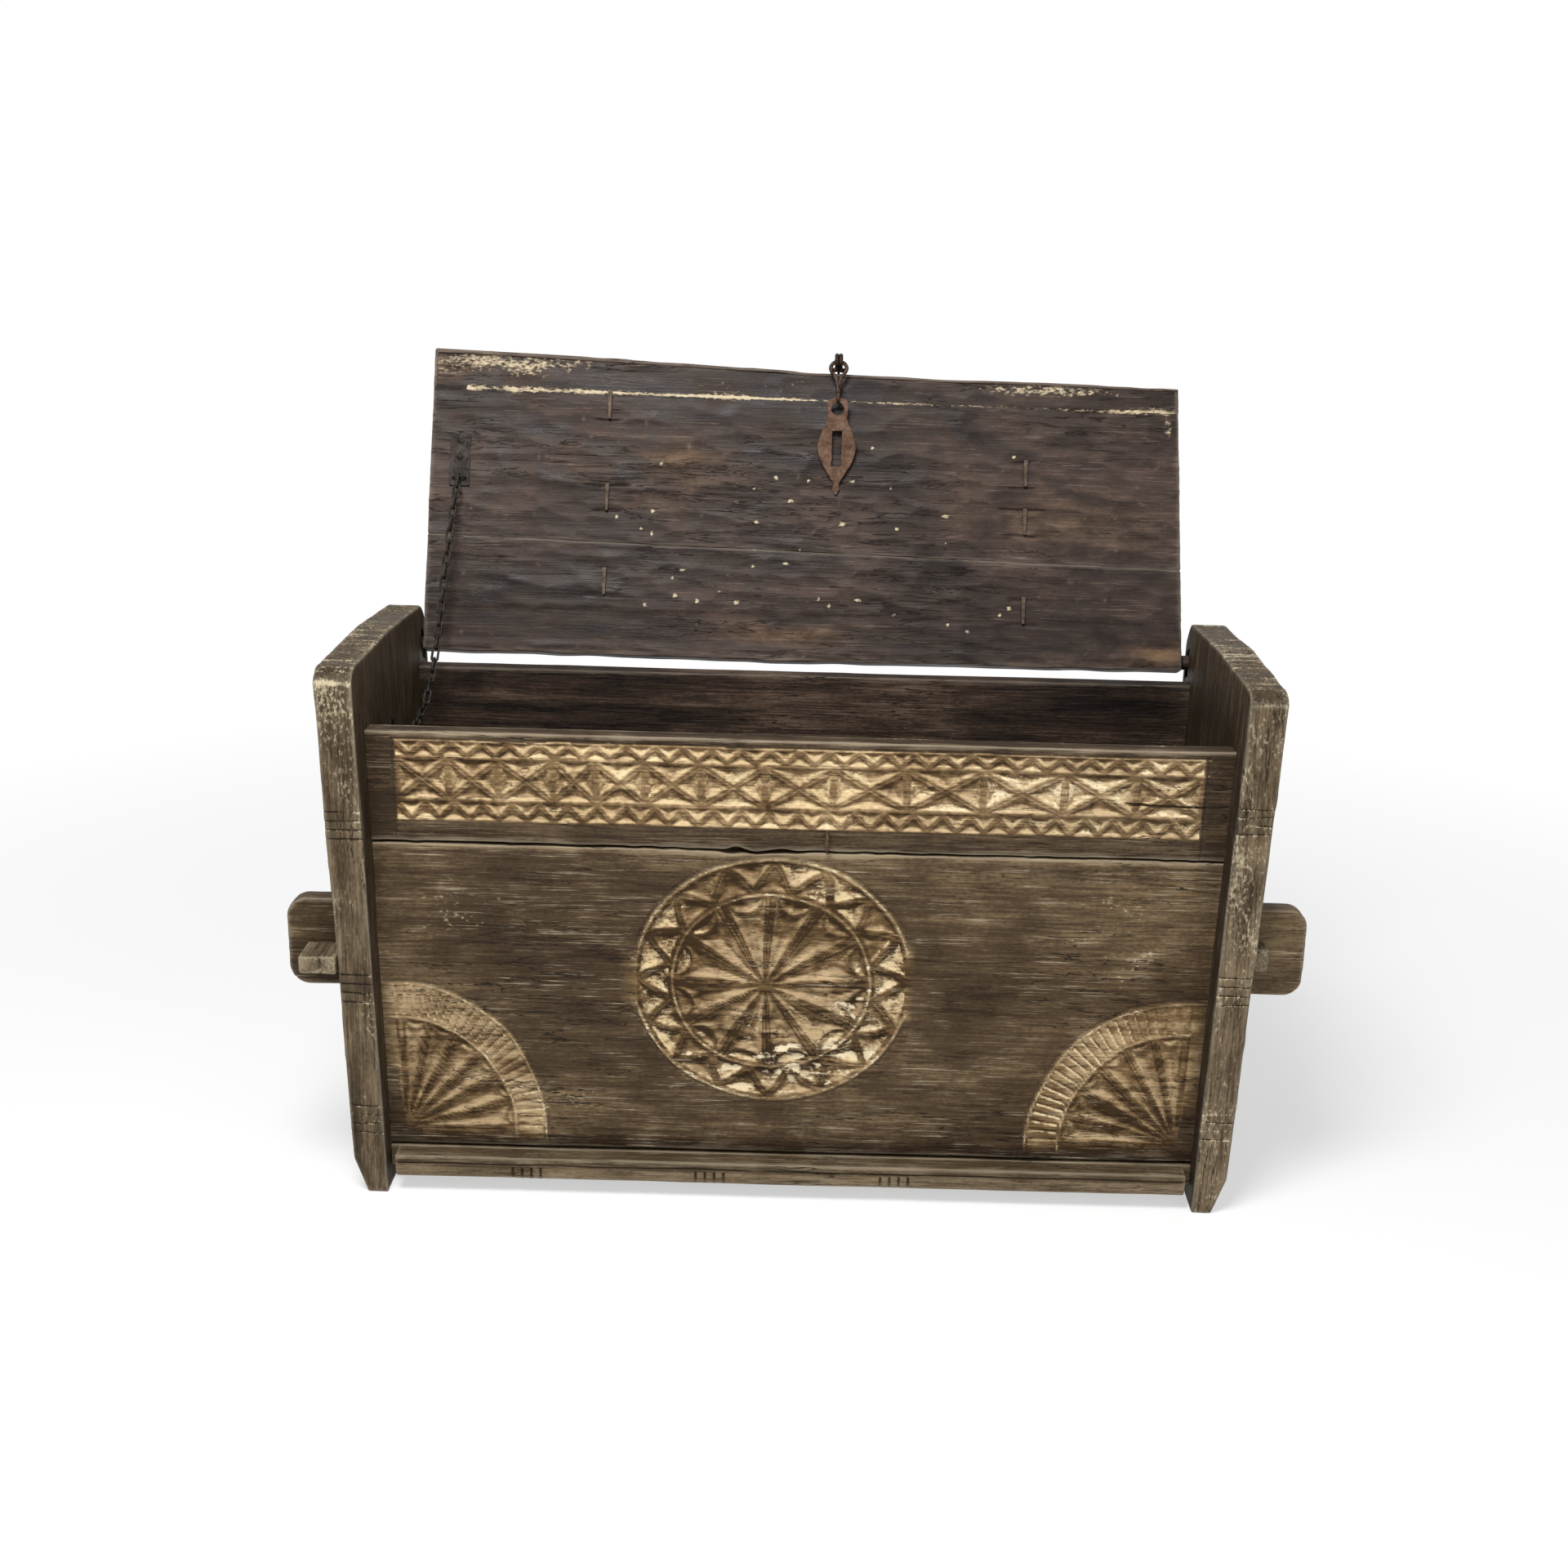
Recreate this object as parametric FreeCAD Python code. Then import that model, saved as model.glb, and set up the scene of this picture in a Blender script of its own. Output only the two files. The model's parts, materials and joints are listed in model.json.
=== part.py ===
import FreeCAD, Part
import math
import os

os.makedirs("parts", exist_ok=True)

# Carved coffer chest with a pivoting plank lid, shown open.
# Millimetres. X runs along the chest, Y from front to back, Z up from the ground.
# While it is built, Y is 0 on the carved front face; the finished chest is then centred.

# Carcase
rim_height = 570.0
inner_width = 1000.0
inner_depth = 303.0
board_thickness = 28.0
frieze_height = 133.5
back_drop = 2.5
back_seam_height = 330.0
sill_top = 48.0
sill_base = 21.0
sill_proud = 30.0
ledge_width = 24.0
ledge_drop = 12.0
floor_thickness = 18.0
floor_planks = 3
floor_gap = 0.5
housing_depth = 10.0
housing_clearance = 0.2

# End boards
end_rise = 82.0
end_lean_share = 0.0258
end_top_thickness = 43.5
end_foot_thickness = 38.0
front_proud_top = 51.0
front_proud_foot = 33.0
rear_proud = 37.0
shoulder_drop = 20.0
shoulder_run = 24.0
shoulder_bulge_share = 0.74
crown_drop = 11.0
rear_round_run = 38.0
rear_round_drop = 52.0
rear_bulge_share = 0.68
foot_length_front = 108.0
foot_length_rear = 92.0
foot_arch = 13.0
foot_taper = 10.0
foot_taper_height = 45.0

# Through tenons of the boards, outside the end boards
ear_reach = 68.0
left_ear_low = 255.0
right_ear_low = 271.0
rear_ear_low = 200.0
ear_height = 108.0
left_ear_round = 44.0
right_ear_round = 22.0

# Locking pegs
wedge_width = 43.0
wedge_height = 21.0
wedge_proud = 49.0
wedge_drop = 76.0
wedge_split = 2.0
wedge_split_depth = 24.0
wedge_tip_share = 0.6
peg_width = 19.0
peg_height = 30.0
peg_proud = 26.0
peg_drop = 54.0
peg_corner_share = 0.3
peg_tail = 16.0
peg_clearance = 0.2

# Lid, in its own directions: run is from the pivot towards the front, rise is up from the underside
lid_lean_deg = 21.0
lid_thickness = 30.0
lid_gap = 0.5
pivot_rise = 20.0
pivot_behind_back = 11.6
pintle_radius = 10.0
pintle_length = 28.0
pintle_clearance = 0.08
pocket_extra = 2.0
pocket_rise = 17.0
lid_tail = 10.0
lid_tail_round = 7.0
lid_left_gap = 2.0
lid_right_rear_gap = 10.0
lid_right_front_gap = 19.0
lid_run_left = 390.0
lid_run_right = 360.0
seam_run_left = 142.0
seam_run_right = 118.0
seam_gap = 0.6
rebate_run_left = 342.0
rebate_run_right = 328.0
rebate_depth = 2.8
dowel_radius = 6.0
dowel_half_length = 40.0
dowel_clearance = 0.1
dowel_place_shares = [-0.64, 0.02, 0.66]

# Battens over the lid joint and their clinched nails
batten_place_shares = [-0.53, 0.565]
batten_width = 46.0
batten_thickness = 18.0
batten_start = 22.0
batten_end = 356.0
batten_slope = 12.0
nail_size = 4.0
nail_clearance = 0.1
nail_head = 11.0
nail_head_height = 2.5
nail_tail = 36.0
nail_tail_height = 2.4
left_nail_runs = [334.0, 212.0, 101.0]
right_nail_runs = [257.0, 193.0, 76.0]

# Hasp: eye in the lid edge, looped link, slotted leaf, and the staple on the front
hasp_place_share = 0.068
eye_outer = 8.6
eye_inner = 5.2
eye_width = 5.0
eye_run = 10.0
eye_drop = 5.0
eye_shank = 24.0
eye_shank_height = 3.2
eye_shank_deg = 50.0
eye_fit = 0.1
eye_tail_length = 9.0
eye_tail_height = 2.6
hasp_wire = 2.1
joint_slack = 0.3
eye_seat_shares = [0.6, 0.8]
link_length = 51.0
link_lift_deg = 8.0
link_loop = 10.0
link_end_loop = 6.0
link_waist = 3.0
leaf_ring = 12.0
leaf_thickness = 3.0
leaf_length = 126.0
leaf_rest_gap = 0.7
leaf_station_shares = [0.17, 0.24, 0.3, 0.38, 0.44, 0.5, 0.59, 0.7, 0.8, 0.88, 0.93]
leaf_half_widths = [12.6, 12.4, 13.2, 18.0, 22.4, 24.6, 22.2, 15.4, 8.4, 4.6, 5.2]
leaf_slot_width = 12.5
leaf_slot_length = 48.0
leaf_slot_share = 0.533
staple_rise = 13.5
staple_span = 20.0
staple_reach = 8.0
staple_depth = 20.0
staple_wire = 2.5
staple_bend = 5.0
iron_corners = 8

# Stay chain from the lid to the left end board
chain_inset = 41.0
chain_run = 217.0
chain_drop = 7.3
chain_wire = 3.0
chain_slack = 0.5
chain_pitch = 15.714
chain_link_half_width = 3.5
chain_links_per_length = 4
chain_bend_steps = 4
chain_length_turns_deg = [232.4, 243.2, 250.1, 241.2, 225.6, 195.1, 181.5]
chain_wall_gap = 9.5
chain_end_play = 3.0
chain_plate_width = 26.0
chain_plate_length = 66.0
chain_plate_thickness = 1.6
chain_plate_lead_share = 0.16
chain_eye_span = 16.0
wall_eye_span = 24.0
chain_eye_bend = 3.2
chain_screw_radius = 4.2
chain_screw_height = 1.6
chain_screw_shank = 2.0
chain_screw_depth = 14.0
chain_screw_share = 0.4

# Scribed tally marks on the front edges of the end boards and on the sill
tally_count = 4
tally_pitch = 11.5
tally_width = 3.0
tally_depth = 1.6
left_tally_heights = [470.0, 266.0, 98.0]
right_tally_heights = [505.0, 291.0, 116.0]
sill_tally_shares = [-0.654, -0.2, 0.258]

# Chip carving on the front
chip_depth = 3.0
chip_lift = 1.0
chip_gap = 1.6
carved_inset = 32.0
groove_drop = 8.0
groove_width = 4.0
groove_depth = 2.0
upper_band_drop = 12.0
upper_band_height = 17.0
cross_band_drop = 31.0
cross_band_height = 49.0
lower_band_drop = 82.0
lower_band_height = 23.0
band_waves = 28
cross_width_shares = [60, 58, 63, 48, 57, 66, 73, 80, 83, 88, 92, 84, 76]
rosette_place_share = -0.056
rosette_height_share = 0.574
rosette_radius_share = 0.4015
rosette_inner_share = 0.718
rosette_rays = 12
rosette_waves = 16
ray_root_share = 0.12
ray_belly_share = 0.58
ray_tip_share = 0.96
ray_spread_share = 0.38
rib_share = 0.42
fan_inset = 22.0
fan_height = 24.0
fan_radius = 182.0
fan_inner = 143.0
fan_rays = 6
fan_teeth = 22
fan_margin_deg = 4.0

# Places that follow from the sizes
end_height = rim_height + end_rise
half_inner = inner_width / 2
carved_half_width = half_inner - carved_inset
lid_left = half_inner - lid_left_gap
lid_right_rear = half_inner - lid_right_rear_gap
lid_right_front = half_inner - lid_right_front_gap
chain_x = half_inner - chain_inset
hasp_x = half_inner * hasp_place_share
back_face = board_thickness + inner_depth
back_rear = back_face + board_thickness
rear_edge = back_rear + rear_proud
frieze_base = rim_height - frieze_height
staple_height = frieze_base + staple_rise
panel_height = frieze_base - sill_top
rosette_x = half_inner * rosette_place_share
rosette_height = sill_top + panel_height * rosette_height_share
rosette_radius = panel_height * rosette_radius_share
rosette_inner = rosette_radius * rosette_inner_share
back_top = rim_height - back_drop
lid_under = back_top + lid_gap
pivot_y = back_rear + pivot_behind_back
pivot_z = lid_under + pivot_rise
open_deg = 90.0 + lid_lean_deg
along_chest = FreeCAD.Vector(1, 0, 0)
pivot = FreeCAD.Vector(0, pivot_y, pivot_z)
shapes = {}


def at(x, y, z):
    return FreeCAD.Vector(x, y, z)


def inner_x(z):
    return half_inner + (z - rim_height) * end_lean_share


def outer_x(z):
    share = z / end_height
    return inner_x(z) + end_foot_thickness + (end_top_thickness - end_foot_thickness) * share


def box(x0, x1, y0, y1, z0, z1):
    return Part.makeBox(x1 - x0, y1 - y0, z1 - z0, at(x0, y0, z0))


def prism(points, along):
    wire = Part.makePolygon(points + points[:1])
    return Part.Face(wire).extrude(along)


def prism_side(points, x0, x1):
    return prism([at(x0, y, z) for y, z in points], at(x1 - x0, 0, 0))


def prism_front(points, y0, y1):
    return prism([at(x, y0, z) for x, z in points], at(0, y1 - y0, 0))


def prism_plan(points, z0, z1):
    return prism([at(x, y, z0) for x, y in points], at(0, 0, z1 - z0))


def mirrored(shape):
    return shape.mirror(at(0, 0, 0), at(1, 0, 0))


def joined(pieces):
    whole = pieces[0].multiFuse(pieces[1:])
    return whole.removeSplitter()


def rod(start, end, radius):
    span = end - start
    return Part.makeCylinder(radius, span.Length, start, span)


def section(middle, side, flat, radius):
    corners = []
    for corner in range(iron_corners):
        angle = math.pi * (corner + corner + 1) / iron_corners
        corners.append(middle + side * (radius * math.cos(angle)) + flat * (radius * math.sin(angle)))
    return Part.makePolygon(corners + corners[:1])


def bent_rod(points, bend, radius):
    edges = []
    here = points[0]
    for before, corner, after in zip(points, points[1:], points[2:]):
        back = (before - corner).normalize()
        on = (after - corner).normalize()
        half = back.getAngle(on) / 2
        cut = bend / math.tan(half)
        first = corner + back * cut
        last = corner + on * cut
        middle = (back + on).normalize()
        through = corner + middle * (bend / math.sin(half) - bend)
        edges.append(Part.makeLine(here, first))
        edges.append(Part.Arc(first, through, last).toShape())
        here = last
    edges.append(Part.makeLine(here, points[-1]))
    on = (points[1] - points[0]).normalize()
    side = (points[2] - points[1]).normalize()
    outline = section(points[0], side, on.cross(side), radius)
    return Part.Wire(edges).makePipeShell([outline], True, True)


def loop(middle, radius, wire, axis, side):
    outline = section(middle + side * radius, side, axis, wire)
    return Part.Face(outline).revolve(middle, axis, math.degrees(math.pi * 2))


# End boards: one wide plank each, leaning out a little, with a crowned top and an arched foot
def end_board():
    shoulder = end_height - shoulder_drop
    crown = end_height - crown_drop
    rear_shoulder = crown - rear_round_drop
    foot_front = at(0, -front_proud_foot, 0)
    front_low = at(0, -front_proud_top, shoulder)
    front_mid = at(0, -front_proud_top + shoulder_run * (1 - shoulder_bulge_share),
                   shoulder + shoulder_drop * shoulder_bulge_share)
    front_high = at(0, -front_proud_top + shoulder_run, end_height)
    crown_start = at(0, back_face / 2, end_height)
    rear_high = at(0, rear_edge - rear_round_run, crown)
    rear_mid = at(0, rear_edge - rear_round_run * (1 - rear_bulge_share),
                  crown - rear_round_drop * (1 - rear_bulge_share))
    rear_low = at(0, rear_edge, rear_shoulder)
    foot_back = at(0, rear_edge, 0)
    arch_back = at(0, rear_edge - foot_length_rear, 0)
    arch_front = at(0, -front_proud_foot + foot_length_front, 0)
    arch_top = at(0, (arch_back.y + arch_front.y) / 2, foot_arch)
    edges = [Part.makeLine(foot_front, front_low),
             Part.Arc(front_low, front_mid, front_high).toShape(),
             Part.makeLine(front_high, crown_start),
             Part.makeLine(crown_start, rear_high),
             Part.Arc(rear_high, rear_mid, rear_low).toShape(),
             Part.makeLine(rear_low, foot_back),
             Part.makeLine(foot_back, arch_back),
             Part.Arc(arch_back, arch_top, arch_front).toShape(),
             Part.makeLine(arch_front, foot_front)]
    side = Part.Face(Part.Wire(edges)).extrude(at(inner_width, 0, 0))
    front = [(inner_x(0), 0), (inner_x(end_height), end_height), (outer_x(end_height), end_height),
             (outer_x(foot_taper_height), foot_taper_height), (outer_x(0) - foot_taper, 0)]
    return side.common(prism_front(front, -inner_width, inner_width))


def board_outline(z0, z1, reach):
    return [(-inner_x(z0) - reach, z0), (inner_x(z0) + reach, z0),
            (inner_x(z1) + reach, z1), (-inner_x(z1) - reach, z1)]


def board(z0, z1, y0, y1):
    return prism_front(board_outline(z0, z1, housing_depth - housing_clearance), y0, y1)


def housing(z0, z1, y0, y1):
    loose = housing_clearance
    return prism_front(board_outline(z0, z1, housing_depth), y0 - loose, y1 + loose)


def rail(profile, z0, z1):
    whole = prism_side(profile, -inner_width, inner_width)
    reach = housing_depth - housing_clearance
    return whole.common(prism_front(board_outline(z0, z1, reach), -inner_width, inner_width))


def ear(low, rounding, y0):
    start = inner_x(low)
    end = outer_x(low) + ear_reach
    high = low + ear_height
    slant = rounding * (1 - math.sqrt(2) / 2)
    edges = [Part.makeLine(at(start, y0, low), at(end - rounding, y0, low)),
             Part.Arc(at(end - rounding, y0, low), at(end - slant, y0, low + slant),
                      at(end, y0, low + rounding)).toShape(),
             Part.makeLine(at(end, y0, low + rounding), at(end, y0, high - rounding)),
             Part.Arc(at(end, y0, high - rounding), at(end - slant, y0, high - slant),
                      at(end - rounding, y0, high)).toShape(),
             Part.makeLine(at(end - rounding, y0, high), at(start, y0, high)),
             Part.makeLine(at(start, y0, high), at(start, y0, low))]
    return Part.Face(Part.Wire(edges)).extrude(at(0, board_thickness, 0))


def mortise(low, y0):
    loose = housing_clearance
    start = inner_x(low) - housing_depth
    end = outer_x(low + ear_height) + housing_depth
    rear = y0 + board_thickness + loose
    return box(start, end, y0 - loose, rear, low - loose, low + ear_height + loose)


def wedge_peg(top, y0, grow):
    high = top + grow
    low = top - wedge_height - grow
    inside = outer_x(top) + peg_clearance - grow
    middle = (high + low) / 2
    tip = wedge_height / 2 * wedge_tip_share
    tail = y0 + board_thickness + peg_tail
    profile = [(y0 - wedge_proud, low), (y0 + board_thickness, low), (tail, middle - tip),
               (tail, middle + tip), (y0 + board_thickness, high), (y0 - wedge_proud, high)]
    return prism_side(profile, inside, inside + wedge_width + grow + grow)


def round_peg(top, y0, proud, tail, grow):
    inside = outer_x(top) + peg_clearance
    x0 = inside - grow
    x1 = inside + peg_width + grow
    z0 = top - peg_height - grow
    z1 = top + grow
    cut = peg_width * peg_corner_share
    corners = [(x0 + cut, z0), (x1 - cut, z0), (x1, z0 + cut), (x1, z1 - cut),
               (x1 - cut, z1), (x0 + cut, z1), (x0, z1 - cut), (x0, z0 + cut)]
    return prism_front(corners, y0 - proud, y0 + board_thickness + tail)


def tally_spread(middle):
    first = middle - tally_pitch * (tally_count - 1) / 2
    return [first + tally_pitch * item for item in range(tally_count)]


def edge_tallies(heights, x0, x1):
    marks = []
    for middle in heights:
        for z in tally_spread(middle):
            share = z / (end_height - shoulder_drop)
            y = -front_proud_foot - (front_proud_top - front_proud_foot) * share
            outside = y - tally_depth
            vee = [(outside, z - tally_width), (y + tally_depth, z), (outside, z + tally_width)]
            marks.append(prism_side(vee, x0, x1))
    return marks


def sill_tallies():
    marks = []
    outside = -sill_proud - tally_depth
    inside = -sill_proud + tally_depth
    for share in sill_tally_shares:
        for x in tally_spread(share * half_inner):
            vee = [(x - tally_width, outside), (x, inside), (x + tally_width, outside)]
            marks.append(prism_plan(vee, 0, rim_height))
    return marks


left_peg_top = left_ear_low + ear_height - wedge_drop + wedge_height
right_peg_top = right_ear_low + ear_height - peg_drop + peg_height / 2
rear_peg_top = rear_ear_low + ear_height - peg_drop + peg_height / 2
ledge_height = sill_top - ledge_drop
floor_top = ledge_height + floor_thickness
front_rail = [(-sill_proud, sill_base), (board_thickness + ledge_width, sill_base),
              (board_thickness + ledge_width, ledge_height), (board_thickness, ledge_height),
              (board_thickness, sill_top), (-sill_proud, sill_top)]
back_rail = [(back_face - ledge_width, sill_base), (back_rear, sill_base), (back_rear, sill_top),
             (back_face, sill_top), (back_face, ledge_height), (back_face - ledge_width, ledge_height)]
housings = [housing(sill_base, sill_top, -sill_proud, board_thickness + ledge_width),
            housing(sill_top, rim_height, 0, board_thickness),
            housing(sill_base, sill_top, back_face - ledge_width, back_rear),
            housing(sill_top, back_top, back_face, back_rear),
            housing(ledge_height, floor_top, board_thickness, back_face)]
pocket_end = inner_x(pivot_z) + pintle_length + pocket_extra
pocket_radius = pintle_radius + pintle_clearance
pocket_start = half_inner - housing_depth
pocket_seat = rod(at(pocket_start, pivot_y, pivot_z), at(pocket_end, pivot_y, pivot_z), pocket_radius)
pocket_slot = box(pocket_start, pocket_end, pivot_y - pocket_radius, pivot_y + pocket_radius,
                  pivot_z, pivot_z + pocket_rise)
pocket = joined([pocket_seat, pocket_slot])
rear_mortise = mortise(rear_ear_low, back_face)
right_cuts = [mortise(right_ear_low, 0), rear_mortise, pocket]
left_cuts = [mirrored(cut) for cut in (mortise(left_ear_low, 0), rear_mortise, pocket)]
right_cuts += edge_tallies(right_tally_heights, 0, inner_width)
left_cuts += edge_tallies(left_tally_heights, -inner_width, 0)
shapes["right_end_board"] = end_board().cut(housings + right_cuts)
shapes["left_end_board"] = mirrored(end_board()).cut(housings + left_cuts)

# Rails, floor and plain back
shapes["front_sill_rail"] = rail(front_rail, sill_base, sill_top).cut(sill_tallies())
shapes["back_sill_rail"] = rail(back_rail, sill_base, sill_top)
plank_width = (inner_depth - floor_gap * (floor_planks + 1)) / floor_planks
for plank in range(floor_planks):
    y0 = board_thickness + floor_gap + plank * (plank_width + floor_gap)
    shapes["floor_plank_%d" % (plank + 1)] = board(ledge_height, floor_top, y0, y0 + plank_width)
shapes["back_upper_board"] = board(back_seam_height, back_top, back_face, back_rear)
rear_ear = ear(rear_ear_low, right_ear_round, back_face)
rear_hole = round_peg(rear_peg_top, back_face, peg_proud, peg_tail, peg_clearance)
rear_ear = rear_ear.cut(rear_hole)
shapes["back_lower_board"] = joined([board(sill_top, back_seam_height, back_face, back_rear),
                                     rear_ear, mirrored(rear_ear)])


# Carved front: frieze board over panel board
def chip(outline, deep, depth):
    apex = at(deep[0], depth, deep[1])
    grow = (depth + chip_lift) / depth
    base = [apex + (at(x, 0, z) - apex) * grow for x, z in outline]
    faces = [Part.Face(Part.makePolygon(base + base[:1]))]
    for a, b in zip(base, base[1:] + base[:1]):
        faces.append(Part.Face(Part.makePolygon([a, b, apex, a])))
    solid = Part.makeSolid(Part.makeShell(faces))
    if solid.Volume < 0:
        solid.reverse()
    return solid


def centre(outline):
    return (sum(x for x, z in outline) / len(outline), sum(z for x, z in outline) / len(outline))


def zigzag_band(z0, z1):
    step = carved_half_width * 2 / band_waves
    rib = (z1 - z0) * rib_share
    half = (step - chip_gap) / 2
    chips = []
    for wave in range(band_waves):
        x = -carved_half_width + step * (wave + 1 / 2)
        hanging = [(x - half, z1), (x, z0 + rib), (x + half, z1)]
        chips.append(chip(hanging, centre(hanging), chip_depth))
        if wave > 0:
            foot = x - step / 2
            standing = [(foot - half, z0), (foot + half, z0), (foot, z1 - rib)]
            chips.append(chip(standing, centre(standing), chip_depth))
    return chips


def crossed_band(z0, z1):
    panels = []
    unit = carved_half_width * 2 / sum(cross_width_shares)
    x0 = -carved_half_width
    for width in cross_width_shares:
        x1 = x0 + width * unit
        middle = ((x0 + x1) / 2, (z0 + z1) / 2)
        slack = chip_gap
        corners = [(x0 + slack, z0 + slack), (x1 - slack, z0 + slack),
                   (x1 - slack, z1 - slack), (x0 + slack, z1 - slack)]
        for a, b in zip(corners, corners[1:] + corners[:1]):
            side = ((a[0] + b[0]) / 2, (a[1] + b[1]) / 2)
            reach = math.hypot(middle[0] - side[0], middle[1] - side[1])
            pull = 1 - (slack + slack) / reach
            near = (side[0] + (middle[0] - side[0]) * pull, side[1] + (middle[1] - side[1]) * pull)
            ends = []
            for end in (a, b):
                span = math.hypot(side[0] - end[0], side[1] - end[1])
                ends.append((end[0] + (side[0] - end[0]) * (slack + slack) / span,
                             end[1] + (side[1] - end[1]) * (slack + slack) / span))
            outline = [ends[0], near, ends[1]]
            panels.append(chip(outline, centre(outline), chip_depth))
        x0 = x1
    return panels


whole_turn = math.pi * 2


def polar(middle, radius, angle):
    return (middle[0] + radius * math.cos(angle), middle[1] + radius * math.sin(angle))


def rays(middle, radius, start, step, count):
    cuts = []
    for number in range(count):
        line = start + step * number
        spread = step * ray_spread_share
        kite = [polar(middle, radius * ray_root_share, line),
                polar(middle, radius * ray_belly_share, line - spread),
                polar(middle, radius * ray_tip_share, line),
                polar(middle, radius * ray_belly_share, line + spread)]
        cuts.append(chip(kite, polar(middle, radius * ray_belly_share, line), chip_depth))
    return cuts


def ring_zigzag(middle, r0, r1, count):
    step = whole_turn / count
    inside = r0 + groove_width
    outside = r1 - groove_width
    rib = (outside - inside) * rib_share
    cuts = []
    for number in range(count):
        line = step * number
        spread = step * rib_share
        hanging = [polar(middle, outside, line + spread), polar(middle, outside, line - spread),
                   polar(middle, inside + rib, line)]
        line += step / 2
        standing = [polar(middle, inside, line - spread), polar(middle, inside, line + spread),
                    polar(middle, outside - rib, line)]
        cuts += [chip(outline, centre(outline), chip_depth) for outline in (hanging, standing)]
    return cuts


def ring_teeth(middle, r0, r1, start, step, count):
    cuts = []
    for number in range(count):
        line = start + step * number
        tooth = [polar(middle, r1 - groove_width, line + step * ray_spread_share),
                 polar(middle, r1 - groove_width, line - step * ray_spread_share),
                 polar(middle, r0 + groove_width, line)]
        cuts.append(chip(tooth, centre(tooth), chip_depth))
    return cuts


def ring_groove(middle, radius):
    half = groove_width / 2
    x, z = middle
    outer = Part.makeCone(radius + half, radius, groove_depth, at(x, 0, z), at(0, 1, 0))
    inner = Part.makeCone(radius - half, radius, groove_depth, at(x, 0, z), at(0, 1, 0))
    return outer.cut(inner)


upper_top = rim_height - upper_band_drop
cross_top = rim_height - cross_band_drop
lower_top = rim_height - lower_band_drop
frieze_cuts = zigzag_band(upper_top - upper_band_height, upper_top)
frieze_cuts += crossed_band(cross_top - cross_band_height, cross_top)
frieze_cuts += zigzag_band(lower_top - lower_band_height, lower_top)
groove_z = rim_height - groove_drop
groove = [(0, groove_z + groove_width / 2), (groove_depth, groove_z), (0, groove_z - groove_width / 2)]
frieze_cuts.append(prism_side(groove, -carved_half_width, carved_half_width))
rosette = (rosette_x, rosette_height)
panel_cuts = rays(rosette, rosette_inner, 0, whole_turn / rosette_rays, rosette_rays)
panel_cuts += ring_zigzag(rosette, rosette_inner, rosette_radius, rosette_waves)
panel_cuts += [ring_groove(rosette, rosette_inner), ring_groove(rosette, rosette_radius)]
fan_x = inner_x(sill_top + fan_height) - fan_inset
fan_z = sill_top + fan_height
margin = math.radians(fan_margin_deg)
quarter = math.pi / 2
tooth_step = (quarter - margin - margin) / fan_teeth
ray_step = (quarter - margin - margin) / fan_rays
for side in (-1, 1):
    corner = (side * fan_x, fan_z)
    first = margin if side < 0 else quarter + margin
    panel_cuts += ring_teeth(corner, fan_inner, fan_radius, first + tooth_step / 2, tooth_step, fan_teeth)
    panel_cuts += rays(corner, fan_inner, first + ray_step / 2, ray_step, fan_rays)
    last = first + quarter - margin - margin
    limits = [corner, polar(corner, fan_radius * 2, first), polar(corner, fan_radius * 2, last)]
    sector = prism_front(limits, -chip_lift, board_thickness)
    for radius in (fan_inner, fan_radius):
        panel_cuts.append(ring_groove(corner, radius).common(sector))

staple_low = staple_height - staple_span / 2
staple_high = staple_height + staple_span / 2
staple_path = [at(hasp_x, staple_depth, staple_high), at(hasp_x, -staple_reach, staple_high),
               at(hasp_x, -staple_reach, staple_low), at(hasp_x, staple_depth, staple_low)]
shapes["lock_staple"] = bent_rod(staple_path, staple_bend, staple_wire)
staple_hole = staple_wire + joint_slack / 2
staple_end = staple_depth + joint_slack
staple_holes = [rod(at(hasp_x, -chip_lift, z), at(hasp_x, staple_end, z), staple_hole)
                for z in (staple_low, staple_high)]
frieze = board(frieze_base, rim_height, 0, board_thickness)
shapes["front_frieze_board"] = frieze.cut(frieze_cuts + staple_holes)
left_ear = ear(left_ear_low, left_ear_round, 0).cut(wedge_peg(left_peg_top, 0, peg_clearance))
right_ear = ear(right_ear_low, right_ear_round, 0)
right_ear = right_ear.cut(round_peg(right_peg_top, 0, peg_proud, peg_tail, peg_clearance))
panel = joined([board(sill_top, frieze_base, 0, board_thickness), mirrored(left_ear), right_ear])
shapes["front_panel_board"] = panel.cut(panel_cuts)

# Locking pegs, driven from the front or the rear through the tenons against the end boards
wedge = wedge_peg(left_peg_top, 0, 0)
split_x = outer_x(left_peg_top) + wedge_width / 2
split = box(split_x, split_x + wedge_split, -wedge_proud, -wedge_proud + wedge_split_depth,
            left_peg_top - wedge_height, left_peg_top)
shapes["front_left_peg"] = mirrored(wedge.cut(split))
shapes["front_right_peg"] = round_peg(right_peg_top, 0, peg_proud, peg_tail, 0)
shapes["rear_right_peg"] = round_peg(rear_peg_top, back_face, peg_tail, peg_proud, 0)
shapes["rear_left_peg"] = mirrored(shapes["rear_right_peg"])


# Lid, laid out closed and then turned open about the pivot
def lid_point(x, run, rise):
    return at(x, pivot_y - run, lid_under + rise)


def run_at(left, right, x):
    return left + (right - left) * (x + lid_left) / (lid_left + lid_right_rear)


def lid_right(run):
    return lid_right_rear + (lid_right_front - lid_right_rear) * run / lid_run_right


def lid_plan(left0, left1, right0, right1, rise0, rise1):
    corners = [(-lid_left, pivot_y - left0), (lid_right(right0), pivot_y - right0),
               (lid_right(right1), pivot_y - right1), (-lid_left, pivot_y - left1)]
    return prism_plan(corners, lid_under + rise0, lid_under + rise1)


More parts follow.
